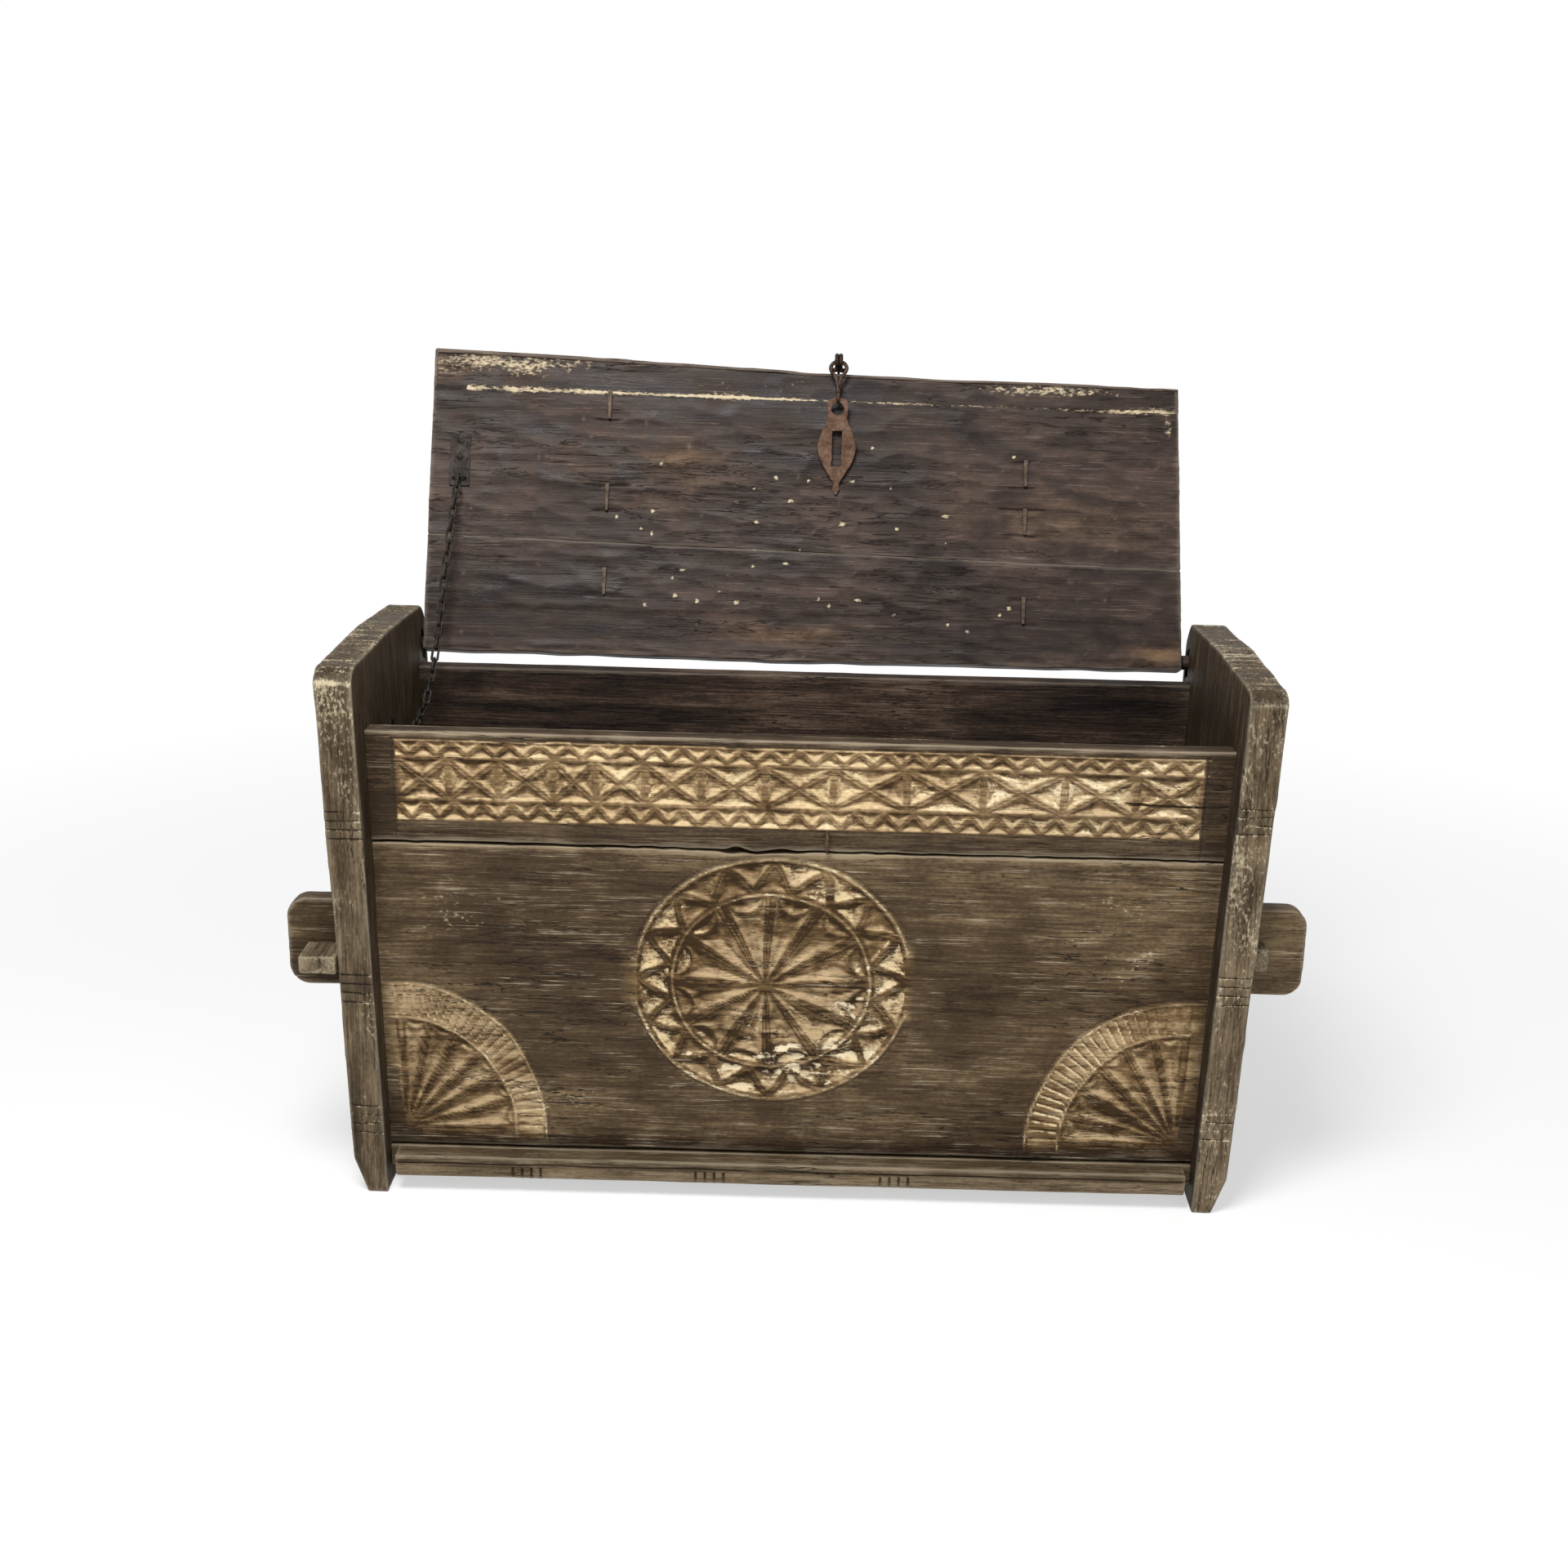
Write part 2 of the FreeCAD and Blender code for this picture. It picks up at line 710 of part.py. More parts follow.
rear_plank = lid_plan(-lid_tail, seam_run_left, -lid_tail, seam_run_right, 0, lid_thickness)
tail_edges = []
for edge in rear_plank.Edges:
    middle = edge.CenterOfMass
    at_rear = abs(middle.y - pivot_y - lid_tail) < seam_gap
    at_corner = abs(middle.z - lid_under - lid_thickness / 2) > lid_tail_round
    if at_rear and at_corner:
        tail_edges.append(edge)
rear_plank = rear_plank.makeFillet(lid_tail_round, tail_edges)
pintles = [rod(at(lid_right_rear - pintle_length, pivot_y, pivot_z),
               at(inner_x(pivot_z) + pintle_length, pivot_y, pivot_z), pintle_radius),
           rod(at(-lid_left + pintle_length, pivot_y, pivot_z),
               at(-inner_x(pivot_z) - pintle_length, pivot_y, pivot_z), pintle_radius)]
rear_plank = joined([rear_plank] + pintles)
front_plank = lid_plan(seam_run_left + seam_gap, lid_run_left, seam_run_right + seam_gap, lid_run_right,
                       0, lid_thickness)
front_plank = front_plank.cut(lid_plan(rebate_run_left, lid_run_left + lid_tail, rebate_run_right,
                                       lid_run_right + lid_tail, -chip_lift, rebate_depth))
lid = {"lid_rear_plank": rear_plank, "lid_front_plank": front_plank}
dowels = []
dowel_holes = []
for share in dowel_place_shares:
    x = share * half_inner
    seam = run_at(seam_run_left, seam_run_right, x) + seam_gap / 2
    rise = lid_thickness / 2
    half = dowel_half_length
    loose = dowel_clearance
    dowels.append(rod(lid_point(x, seam - half, rise), lid_point(x, seam + half, rise), dowel_radius))
    dowel_holes.append(rod(lid_point(x, seam - half - loose, rise), lid_point(x, seam + half + loose, rise),
                           dowel_radius + loose))
lid["lid_dowels"] = Part.makeCompound(dowels)

# Battens on the outside of the lid, nailed through with the points turned over inside
nails = []
nail_holes = []
batten_top = lid_thickness + batten_thickness
for name, share, runs in zip(("left", "right"), batten_place_shares, (left_nail_runs, right_nail_runs)):
    place = share * half_inner
    profile = [(batten_start, lid_thickness), (batten_end, lid_thickness),
               (batten_end - batten_slope, batten_top), (batten_start + batten_slope, batten_top)]
    sides = [lid_point(place - batten_width / 2, run, rise) for run, rise in profile]
    batten = prism(sides, at(batten_width, 0, 0))
    for run in runs:
        half = nail_size / 2
        head = nail_head / 2
        loose = half + nail_clearance
        y = pivot_y - run
        top = lid_under + batten_top
        point = lid_under - nail_tail_height
        shank = box(place - half, place + half, y - half, y + half, lid_under, top)
        cap = box(place - head, place + head, y - head, y + head, top, top + nail_head_height)
        turned = box(place - half, place + half, y - half, y - half + nail_tail, point, lid_under)
        nails.append(joined([shank, cap, turned]))
        nail_holes.append(box(place - loose, place + loose, y - loose, y + loose, point, top))
    lid["lid_batten_" + name] = batten.cut(nail_holes)
lid["lid_clinched_nails"] = Part.makeCompound(nails)

# Hasp eye: a strap folded round a ring, driven slantwise into the lid's front edge
edge_run = run_at(lid_run_left, lid_run_right, hasp_x)
eye_middle = lid_point(hasp_x, edge_run + eye_run, -eye_drop)
half_eye = eye_width / 2
slant = math.radians(eye_shank_deg)
into = at(0, math.cos(slant), math.sin(slant))
across = at(0, -math.sin(slant), math.cos(slant))


def eye_bar(start, end, half_width, half_height):
    corners = []
    for along, side in ((start, -1), (end, -1), (end, 1), (start, 1)):
        corners.append(eye_middle + into * along + across * (half_height * side) - at(half_width, 0, 0))
    return prism(corners, at(half_width + half_width, 0, 0))


ring = Part.makeCylinder(eye_outer, eye_width, eye_middle - at(half_eye, 0, 0), at(1, 0, 0))
ring = ring.cut(Part.makeCylinder(eye_inner, eye_width, eye_middle - at(half_eye, 0, 0), at(1, 0, 0)))
eye_end = eye_outer + eye_shank
eye_root = (eye_outer + eye_inner) / 2
half_shank = eye_shank_height / 2
shank = eye_bar(eye_root, eye_end, half_eye, half_shank)
tails = box(hasp_x - half_eye - eye_tail_length, hasp_x + half_eye + eye_tail_length,
            pivot_y - edge_run - eye_tail_height, pivot_y - edge_run,
            lid_under + rebate_depth + eye_tail_height, lid_under + rebate_depth + eye_tail_height * 2)
run_slope = (lid_run_right - lid_run_left) / (lid_left + lid_right_rear)
tails.rotate(at(hasp_x, pivot_y - edge_run, lid_under), at(0, 0, 1), math.degrees(math.atan(-run_slope)))
lid["hasp_eye"] = joined([ring, shank, tails.cut(eye_bar(eye_root, eye_end, half_eye, half_shank))])
eye_hole = eye_bar(0, eye_end + eye_fit, half_eye + eye_fit, half_shank + eye_fit)

# Plate and eye of the stay chain on the lid's underside
plate_lead = chain_plate_length * chain_plate_lead_share
plate_runs = (chain_run - plate_lead, chain_run - plate_lead + chain_plate_length)
plate_x = -chain_x
half_plate = chain_plate_width / 2


def round_plate(start, end, normal):
    along = (end - start).normalize()
    side = along.cross(normal)
    a0 = start + along * half_plate
    a1 = end - along * half_plate
    edges = [Part.Arc(a0 + side * half_plate, start, a0 - side * half_plate).toShape(),
             Part.makeLine(a0 - side * half_plate, a1 - side * half_plate),
             Part.Arc(a1 - side * half_plate, end, a1 + side * half_plate).toShape(),
             Part.makeLine(a1 + side * half_plate, a0 + side * half_plate)]
    return Part.Face(Part.Wire(edges)).extrude(normal * chain_plate_thickness)


def screw(spot, normal, grow):
    crown = chain_screw_radius * chain_screw_share
    head = Part.makeCone(chain_screw_radius, crown, chain_screw_height, spot, normal)
    shank = Part.makeCylinder(chain_screw_shank + grow, chain_screw_depth + grow, spot, normal * -1)
    return joined([head, shank])


down = at(0, 0, -1)
half_span = chain_eye_span / 2
lid_plate = round_plate(lid_point(plate_x, plate_runs[0], 0), lid_point(plate_x, plate_runs[1], 0), down)
plate_screw_runs = (plate_runs[1] - half_plate / 2, (plate_runs[1] + chain_run) / 2)
lid_spots = [lid_point(plate_x, run, -chain_plate_thickness) for run in plate_screw_runs]
lid_screws = [screw(spot, down, 0) for spot in lid_spots]
screw_holes = [screw(spot, down, joint_slack) for spot in lid_spots]
eye_start = lid_point(plate_x - half_span, chain_run, 0)
eye_finish = lid_point(plate_x + half_span, chain_run, 0)
lid_eye = bent_rod([eye_start, eye_start + down * chain_drop, eye_finish + down * chain_drop, eye_finish],
                   chain_eye_bend, chain_wire / 2)
lid["lid_chain_plate"] = joined([lid_plate.cut(screw_holes), lid_eye])
lid["lid_chain_screws"] = Part.makeCompound(lid_screws)

lid["lid_front_plank"] = lid["lid_front_plank"].cut(dowel_holes + nail_holes + screw_holes + [eye_hole])
lid["lid_rear_plank"] = lid["lid_rear_plank"].cut(dowel_holes + nail_holes)
for name, shape in lid.items():
    opened = shape.copy()
    opened.rotate(pivot, along_chest, -open_deg)
    shapes[name] = opened


# Looped link and leaf of the hasp, laid out with the lid closed but lying as they do when it is open
loop_sag = link_loop - math.sqrt(link_loop ** 2 - half_eye ** 2)
seat = eye_inner - hasp_wire - joint_slack - loop_sag
link_run = edge_run + eye_run - seat * eye_seat_shares[0]
link_rise = -eye_drop - seat * eye_seat_shares[1]
link_top = lid_point(hasp_x, link_run, link_rise)
lift = math.radians(link_lift_deg)
link_way = at(0, math.cos(lift), -math.sin(lift))
link_flat = at(0, math.sin(lift), math.cos(lift))
wire_step = hasp_wire * 2 + joint_slack
leaf_top = link_top + link_way * link_length
end_middle = leaf_top + link_way * (wire_step - link_end_loop)
waist_start = link_top + link_way * (link_loop * 2)
waist_end = end_middle - link_way * link_end_loop
link = joined([loop(link_top + link_way * link_loop, link_loop, hasp_wire, link_flat, along_chest),
               loop(end_middle, link_end_loop, hasp_wire, along_chest, link_way),
               rod(waist_start, waist_end, link_waist)])
tip_rise = -leaf_rest_gap - leaf_thickness / 2
leaf_turn = math.asin((lid_under + tip_rise - leaf_top.z) / leaf_length)
leaf_way = at(0, math.cos(leaf_turn), math.sin(leaf_turn))
leaf_flat = at(0, -math.sin(leaf_turn), math.cos(leaf_turn))


def leaf_point(across, along):
    return leaf_top + at(across, 0, 0) + leaf_way * along - leaf_flat * (leaf_thickness / 2)


def leaf_edge(side):
    spots = [leaf_point(side * width, share * leaf_length)
             for share, width in zip(leaf_station_shares, leaf_half_widths)]
    curve = Part.BSplineCurve()
    curve.interpolate(spots)
    return curve.toShape(), spots[0], spots[-1]


right_edge, right_start, right_end = leaf_edge(1)
left_edge, left_start, left_end = leaf_edge(-1)
tip = Part.Arc(right_end, leaf_point(0, leaf_length), left_end).toShape()
outline = Part.Wire([right_edge, tip, left_edge, Part.makeLine(left_start, right_start)])
leaf = Part.Face(outline).extrude(leaf_flat * leaf_thickness)
slot_middle = leaf_slot_share * leaf_length
slot_half = leaf_slot_width / 2
slot_reach = leaf_slot_length / 2 - slot_half
slot_low = slot_middle - slot_reach
slot_high = slot_middle + slot_reach
slot_edges = [Part.makeLine(leaf_point(slot_half, slot_low), leaf_point(slot_half, slot_high)),
              Part.Arc(leaf_point(slot_half, slot_high), leaf_point(0, slot_high + slot_half),
                       leaf_point(-slot_half, slot_high)).toShape(),
              Part.makeLine(leaf_point(-slot_half, slot_high), leaf_point(-slot_half, slot_low)),
              Part.Arc(leaf_point(-slot_half, slot_low), leaf_point(0, slot_low - slot_half),
                       leaf_point(slot_half, slot_low)).toShape()]
leaf = leaf.cut(Part.Face(Part.Wire(slot_edges)).extrude(leaf_flat * leaf_thickness))
leaf = joined([leaf, loop(leaf_top + leaf_way * leaf_ring, leaf_ring, hasp_wire, leaf_flat, along_chest)])


def opened(point):
    turn = FreeCAD.Rotation(along_chest, -open_deg)
    return pivot + turn.multVec(point - pivot)


for name, shape in (("hasp_link", link), ("hasp_leaf", leaf)):
    turned = shape.copy()
    turned.rotate(pivot, along_chest, -open_deg)
    shapes[name] = turned

# Stay chain: seven short lengths of oval links, each turning on the last link of the one before
wire_radius = chain_wire / 2 / math.cos(math.pi / iron_corners)
link_step = chain_wire + chain_slack
links = chain_links_per_length
length_reach = chain_pitch * links
chain_start = opened(lid_point(plate_x, chain_run, -chain_drop))
turns = [math.radians(turn) for turn in chain_length_turns_deg]
chain_end_z = chain_start.z + length_reach * sum(math.sin(turn) for turn in turns)
chain_end_x = -inner_x(chain_end_z) + chain_plate_thickness + chain_wall_gap
drift = (chain_end_x - chain_start.x) / len(turns)


def oval_link(top, way, side, reach):
    flat = way.cross(side)
    half = chain_link_half_width
    first = top + way * half
    last = top + way * (reach - half)
    corner = half / math.cos(math.pi / (chain_bend_steps + chain_bend_steps))
    route = [(first + last) / 2 - side * half]
    for end, turn in ((first, -1), (last, 1)):
        for step in range(chain_bend_steps):
            angle = math.pi * (step + 1 / 2) / chain_bend_steps
            route.append(end + (side * math.cos(angle) + way * math.sin(angle)) * (corner * turn))
    outline = section(route[0], side, flat, wire_radius)
    return Part.makePolygon(route + route[:1]).makePipeShell([outline], True, False, 1)


chain_joints = [chain_start]
for number, turn in enumerate(turns):
    start = chain_joints[-1]
    step = at(drift, length_reach * math.cos(turn), length_reach * math.sin(turn))
    way = at(step.x, step.y, step.z).normalize()
    upright = at(1, 0, 0).cross(way).normalize()
    level = way.cross(upright).normalize()
    pitch = step.Length / links
    reach = pitch + link_step
    pieces = []
    for item in range(links):
        top = start + way * (pitch * item - link_step)
        pieces.append(oval_link(top, way, upright if item % 2 == 0 else level, reach))
    shapes["stay_chain_%d" % (number + 1)] = Part.makeCompound(pieces)
    chain_joints.append(start + step)

# Plate and staple that hold the chain's lower end on the left end board
lean = math.atan(end_lean_share)
wall_normal = at(math.cos(lean), 0, math.sin(lean))
hook = chain_joints[-1] - way * (link_step + chain_end_play)
wall_reach = (hook.x + inner_x(hook.z)) * math.cos(lean) - chain_plate_thickness / 2
hook_side = upright * (wall_eye_span / 2)
leg = wall_normal * -wall_reach
anchor_path = [hook + hook_side + leg, hook + hook_side, hook - hook_side, hook - hook_side + leg]
anchor_staple = bent_rod(anchor_path, chain_eye_bend, chain_wire / 2)


def on_wall(y, z):
    return at(-inner_x(z), y, z)


wall_low = hook.z - chain_plate_length / 2
wall_high = hook.z + chain_plate_length / 2
wall_plate = round_plate(on_wall(hook.y, wall_low), on_wall(hook.y, wall_high), wall_normal)
wall_spots = [on_wall(hook.y, wall_low + half_plate / 2), on_wall(hook.y, wall_high - half_plate / 2)]
face = wall_normal * chain_plate_thickness
wall_holes = [screw(spot + face, wall_normal, joint_slack) for spot in wall_spots]
shapes["wall_chain_plate"] = joined([wall_plate.cut(wall_holes), anchor_staple])
shapes["wall_chain_screws"] = Part.makeCompound([screw(spot + face, wall_normal, 0) for spot in wall_spots])
shapes["left_end_board"] = shapes["left_end_board"].cut(wall_holes)

# The finished chest stands on Z 0, centred over its own outline, and each piece is saved
whole = Part.makeCompound(list(shapes.values())).BoundBox
shift = at(-(whole.XMin + whole.XMax) / 2, -(whole.YMin + whole.YMax) / 2, -whole.ZMin)
for name in sorted(shapes):
    placed = shapes[name].copy()
    placed.translate(shift)
    placed.exportStep("parts/%s.step" % name)
    print(name, len(placed.Solids), placed.isValid(), round(placed.Volume))
spots = {"lid": pivot, "link": opened(link_top), "leaf": opened(leaf_top)}
for number, spot in enumerate(chain_joints):
    spots["chain_%d" % (number + 1)] = spot
for name, spot in spots.items():
    print("pivot", name, [round(value, 3) for value in spot + shift])
print("shift", shift, "box", whole)
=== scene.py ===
import json
import math
import bmesh
import bpy
import numpy as np
from mathutils import Matrix, Vector


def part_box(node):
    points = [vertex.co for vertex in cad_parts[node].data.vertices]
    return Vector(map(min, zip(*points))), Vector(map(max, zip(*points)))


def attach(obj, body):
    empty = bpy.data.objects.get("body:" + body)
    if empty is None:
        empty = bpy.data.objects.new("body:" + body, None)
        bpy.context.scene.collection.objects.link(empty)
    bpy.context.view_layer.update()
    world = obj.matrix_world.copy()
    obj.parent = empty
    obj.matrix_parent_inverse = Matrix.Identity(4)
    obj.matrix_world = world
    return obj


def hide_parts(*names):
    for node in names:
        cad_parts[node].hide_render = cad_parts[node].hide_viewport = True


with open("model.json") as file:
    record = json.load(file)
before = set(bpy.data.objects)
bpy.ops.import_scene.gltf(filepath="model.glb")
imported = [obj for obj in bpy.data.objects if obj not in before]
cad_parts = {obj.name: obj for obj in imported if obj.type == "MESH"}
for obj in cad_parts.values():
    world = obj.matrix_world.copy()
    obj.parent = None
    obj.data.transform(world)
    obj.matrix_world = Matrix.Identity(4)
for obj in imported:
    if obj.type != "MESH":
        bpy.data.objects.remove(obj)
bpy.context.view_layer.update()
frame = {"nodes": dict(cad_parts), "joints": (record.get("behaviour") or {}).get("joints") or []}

# End boards: two upright planks of weathered oak, split and dressed with an axe.
# The other boards are housed in them, and they carry the chest on two feet each.
# Grey worn tops and arrises, scribed tally marks on the front edges.
mm_per_m = 1000
frieze_low, frieze_high = (np.array(corner) * mm_per_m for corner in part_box("front_frieze_board"))
# Every size below is in millimetres from the foot of the carved front's middle line
home = np.array([(frieze_low[0] + frieze_high[0]) / 2, frieze_low[1], 0.0])
rim = frieze_high[2]


def block(node):
    return [np.array(corner) * mm_per_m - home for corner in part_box(node)]


def joint_called(name):
    return next(joint for joint in frame["joints"] if joint["name"] == name)


def joint_spot(name):
    return np.array(joint_called(name)["pos_m"]) * mm_per_m - home


def scrambled(cells, seed):
    primes = np.array([73856093, 19349663, 83492791])
    key = cells @ primes[:cells.shape[1]] + seed * 2654435
    key = ((key & 0xffffffff) ^ ((key & 0xffffffff) >> 13)) * 1274126177
    key = (key & 0xffffffff) ^ ((key & 0xffffffff) >> 11)
    return ((key * 668265263) >> 9 & 0xffff) / 32767.5 - 1


def unevenness(places, lump, seed):
    spots = places / np.asarray(lump, float)
    cells = np.floor(spots)
    part = spots - cells
    part = part * part * (3 - 2 * part)
    cells = cells.astype(np.int64)
    heights = np.zeros(len(places))
    for step in np.ndindex(2, 2, 2):
        weight = np.prod(np.where(np.array(step) == 1, part, 1 - part), axis=1)
        heights += weight * scrambled(cells + np.array(step), seed)
    return heights


def soft_step(value, start, end):
    share = np.clip((value - start) / (end - start), 0, 1)
    return share * share * (3 - 2 * share)


def patch(places, middle, reach, axes=(0, 2)):
    gaps = [(places[:, axis] - spot) / size for axis, spot, size in zip(axes, middle, reach)]
    return np.exp(-sum(gap * gap for gap in gaps))


# Rows of the mesh lie close together at a board's arrises and at the marks cut into it
def saw_rows(low, high, pitch, rounding, marks):
    ends = np.array([0, 0.12, 0.4, 1, 1.9]) * rounding
    first, last = low + ends[-1], high - ends[-1]
    middle = np.linspace(first, last, max(2, int((last - first) / pitch) + 1))
    rows = np.unique(np.concatenate([low + ends, middle, high - ends, marks]))
    return rows[np.concatenate([[True], np.diff(rows) > 0.02])]


def sawn_blank(name, rows, plain_back):
    solid = bmesh.new()
    bmesh.ops.create_cube(solid, size=1.0)
    for axis in range(3):
        runs = [edge for edge in solid.edges
                if abs(edge.verts[0].co[axis] - edge.verts[1].co[axis]) > 0.5]
        bmesh.ops.subdivide_edges(solid, edges=runs, cuts=len(rows[axis]) - 2, use_grid_fill=True)
    if plain_back:
        back = [face for face in solid.faces if face.calc_center_median().y > 0.4999]
        bmesh.ops.delete(solid, geom=back, context="FACES")
        bmesh.ops.contextual_create(solid, geom=[edge for edge in solid.edges if edge.is_boundary])
    bmesh.ops.recalc_face_normals(solid, faces=solid.faces)
    mesh = bpy.data.meshes.new(name)
    solid.to_mesh(mesh)
    solid.free()
    return mesh


# A board is sawn as a blank, gets its worn arrises, then its relief, then its bends and tapers
def timber(name, low, high, pitch, rounding, relief, shape, seed, marks=((), (), ()), plain_back=False):
    rows = [saw_rows(low[axis], high[axis], pitch[axis], rounding, marks[axis]) for axis in range(3)]
    mesh = sawn_blank(name, rows, plain_back)
    shares = np.empty(len(mesh.vertices) * 3, np.float32)
    mesh.vertices.foreach_get("co", shares)
    shares = shares.reshape(-1, 3).astype(float) + 0.5
    places = np.empty_like(shares)
    for axis in range(3):
        steps = len(rows[axis]) - 1
        places[:, axis] = rows[axis][np.rint(shares[:, axis] * steps).astype(int)]
    low, high = np.asarray(low, float), np.asarray(high, float)
    near = np.sort(np.minimum(places - low, high - places), axis=1)
    bite = rounding * (1 + 0.4 * unevenness(places, (45, 45, 45), seed))[:, None]
    inside = np.clip(places, low + bite, high - bite)
    outward = places - inside
    outward /= np.linalg.norm(outward, axis=1)[:, None]
    places = inside + outward * bite
    looks = {"edge": np.exp(-near[:, 1] / 3.6)}
    looks.update(relief(places, outward))
    looks["edge"] = np.maximum(looks["edge"], looks.pop("rubbed", 0))
    places += outward * looks.pop("height")[:, None]
    places = (shape(places) + home) / mm_per_m
    mesh.vertices.foreach_set("co", places.astype(np.float32).ravel())
    for look in ("edge", "paint_and_light", "gold", "tone", "warm"):
        values = looks.get(look, np.zeros(len(places)))
        layer = mesh.attributes.new(look, "FLOAT", "POINT")
        layer.data.foreach_set("value", values.astype(np.float32))
    mesh.polygons.foreach_set("use_smooth", np.ones(len(mesh.polygons), bool))
    mesh.update()
    return mesh


def linear(code):
    parts = [int(code[start:start + 2], 16) / 255 for start in (1, 3, 5)]
    return [part / 12.92 if part <= 0.04045 else ((part + 0.055) / 1.055) ** 2.4 for part in parts] + [1]


def add(tree, kind, inputs=None, stops=(), **settings):
    made = tree.nodes.new("ShaderNode" + kind)
    for key, value in settings.items():
        setattr(made, key, value)
    for key, value in (inputs or {}).items():
        if isinstance(value, bpy.types.NodeSocket):
            tree.links.new(value, made.inputs[key])
        else:
            made.inputs[key].default_value = value
    for number, (spot, tint) in enumerate(stops):
        stop = made.color_ramp.elements[number] if number < 2 else made.color_ramp.elements.new(spot)
        stop.position, stop.color = spot, linear(tint)
    return made


def bare_material(name):
    material = bpy.data.materials.new(name)
    material.use_nodes = True
    material.node_tree.nodes.clear()
    return material, material.node_tree


# Old oiled wood: long fibres, dark checks along the grain, fine pale scratches, grey where hands and weather
# wore it, golden where a knife cut fresh wood, with cream paint left in hollows. Grain is the fibres' axis.
# Each pattern has its size in millimetres across and along the grain.
def aged_wood(name, grain, tones, worn, cut_tones=None, pale="#d6c6a2", gold="#b9965c", wear=0.5, scratch=0.3,
              fleck=0.0, streak=0.3, gloss=0.62):
    material, tree = bare_material(name)
    place = add(tree, "TexCoord").outputs["Object"]
    layers = {}
    for layer, across, along, detail, warp in (("figure", 13, 190, 5, 0.6),
                                               ("fibre", 2.6, 60, 4, 0.15),
                                               ("mottle", 46, 80, 6, 0.5),
                                               ("check", 15, 210, 4, 0.4),
                                               ("speck", 3.4, 6.5, 5, 0.3),
                                               ("scratch", 2.0, 75, 3, 0.2),
                                               ("grime", 150, 210, 4, 0.3)):
        sizes = [across] * 3
        sizes[grain] = along
        spread = add(tree, "Mapping", {"Vector": place, "Scale": [mm_per_m / size for size in sizes]})
        noise = add(tree, "TexNoise", {"Vector": spread.outputs[0], "Scale": 1.0, "Detail": detail,
                                       "Roughness": 0.62, "Distortion": warp})
        layers[layer] = noise.outputs[0]
    marks = {look: add(tree, "Attribute", attribute_name=look).outputs["Fac"]
             for look in ("edge", "paint_and_light", "gold", "tone", "warm")}
    # Dark, middle and light wood, old or freshly cut
    tone = 0.0
    for part, weight in ((layers["figure"], 0.8 * streak),
                         (layers["fibre"], streak),
                         (layers["mottle"], 0.66 - 1.8 * streak),
                         (layers["speck"], 0.16),
                         (layers["grime"], 0.18),
                         (marks["tone"], 0.16)):
        tone = add(tree, "Math", {0: part, 1: weight, 2: tone}, operation="MULTIPLY_ADD").outputs[0]
    woods = [add(tree, "ValToRGB", {"Fac": tone}, stops=((0.39, dark), (0.63, light), (0.5, middle)))
             for dark, middle, light in (tones, cut_tones or tones)]
    old, cut = (shades.outputs[0] for shades in woods)
    wood = add(tree, "Mix", {0: marks["warm"], 6: old, 7: cut}, data_type="RGBA").outputs[2]
    # Grey wear on the arrises and pale scratches on the barer stretches
    rub = marks["edge"]
    for layer in ("fibre", "mottle"):
        rub = add(tree, "Math", {0: layers[layer], 1: 0.9, 2: rub}, operation="MULTIPLY_ADD").outputs[0]
    rub = add(tree, "MapRange", {0: rub, 1: 1.1, 2: 1.75, 3: 0.0, 4: wear}).outputs[0]
    wood = add(tree, "Mix", {0: rub, 6: wood, 7: linear(worn)}, data_type="RGBA").outputs[2]
    line = add(tree, "MapRange", {0: layers["scratch"], 1: 0.58, 2: 0.66, 3: 0.0, 4: scratch}).outputs[0]
    bared = add(tree, "MapRange", {0: layers["mottle"], 1: 0.42, 2: 0.6}).outputs[0]
    line = add(tree, "Math", {0: line, 1: bared}, operation="MULTIPLY").outputs[0]
    wood = add(tree, "Mix", {0: line, 6: wood, 7: linear(worn)}, data_type="RGBA").outputs[2]
    # Dark checks that open here and there along the grain
    split = add(tree, "Math", {0: layers["check"], 1: 0.5}, operation="SUBTRACT").outputs[0]
    split = add(tree, "Math", {0: split}, operation="ABSOLUTE").outputs[0]
    split = add(tree, "MapRange", {0: split, 1: 0.002, 2: 0.009, 3: 1.0, 4: 0.0}).outputs[0]
    open_split = add(tree, "MapRange", {0: layers["grime"], 1: 0.44, 2: 0.58}).outputs[0]
    split = add(tree, "Math", {0: split, 1: open_split}, operation="MULTIPLY").outputs[0]
    wood = add(tree, "Mix", {0: split, 6: wood, 7: linear("#1a1411")}, data_type="RGBA").outputs[2]
    # Paint, cream to ochre, broken into specks; the same pale mix also shows the painted sheen on the end
    # boards' crowns and the painted light on the slopes of the carving
    coat = add(tree, "Mix", {0: marks["gold"], 6: linear(pale), 7: linear(gold)}, data_type="RGBA").outputs[2]
    hold = marks["paint_and_light"]
    for layer, weight in (("speck", 1.5), ("mottle", 1.0)):
        hold = add(tree, "Math", {0: layers[layer], 1: weight, 2: hold}, operation="MULTIPLY_ADD").outputs[0]
    hold = add(tree, "MapRange", {0: hold, 1: 1.72 - fleck, 2: 2.05 - fleck, 3: 0.0, 4: 0.88}).outputs[0]
    wood = add(tree, "Mix", {0: hold, 6: wood, 7: coat}, data_type="RGBA").outputs[2]
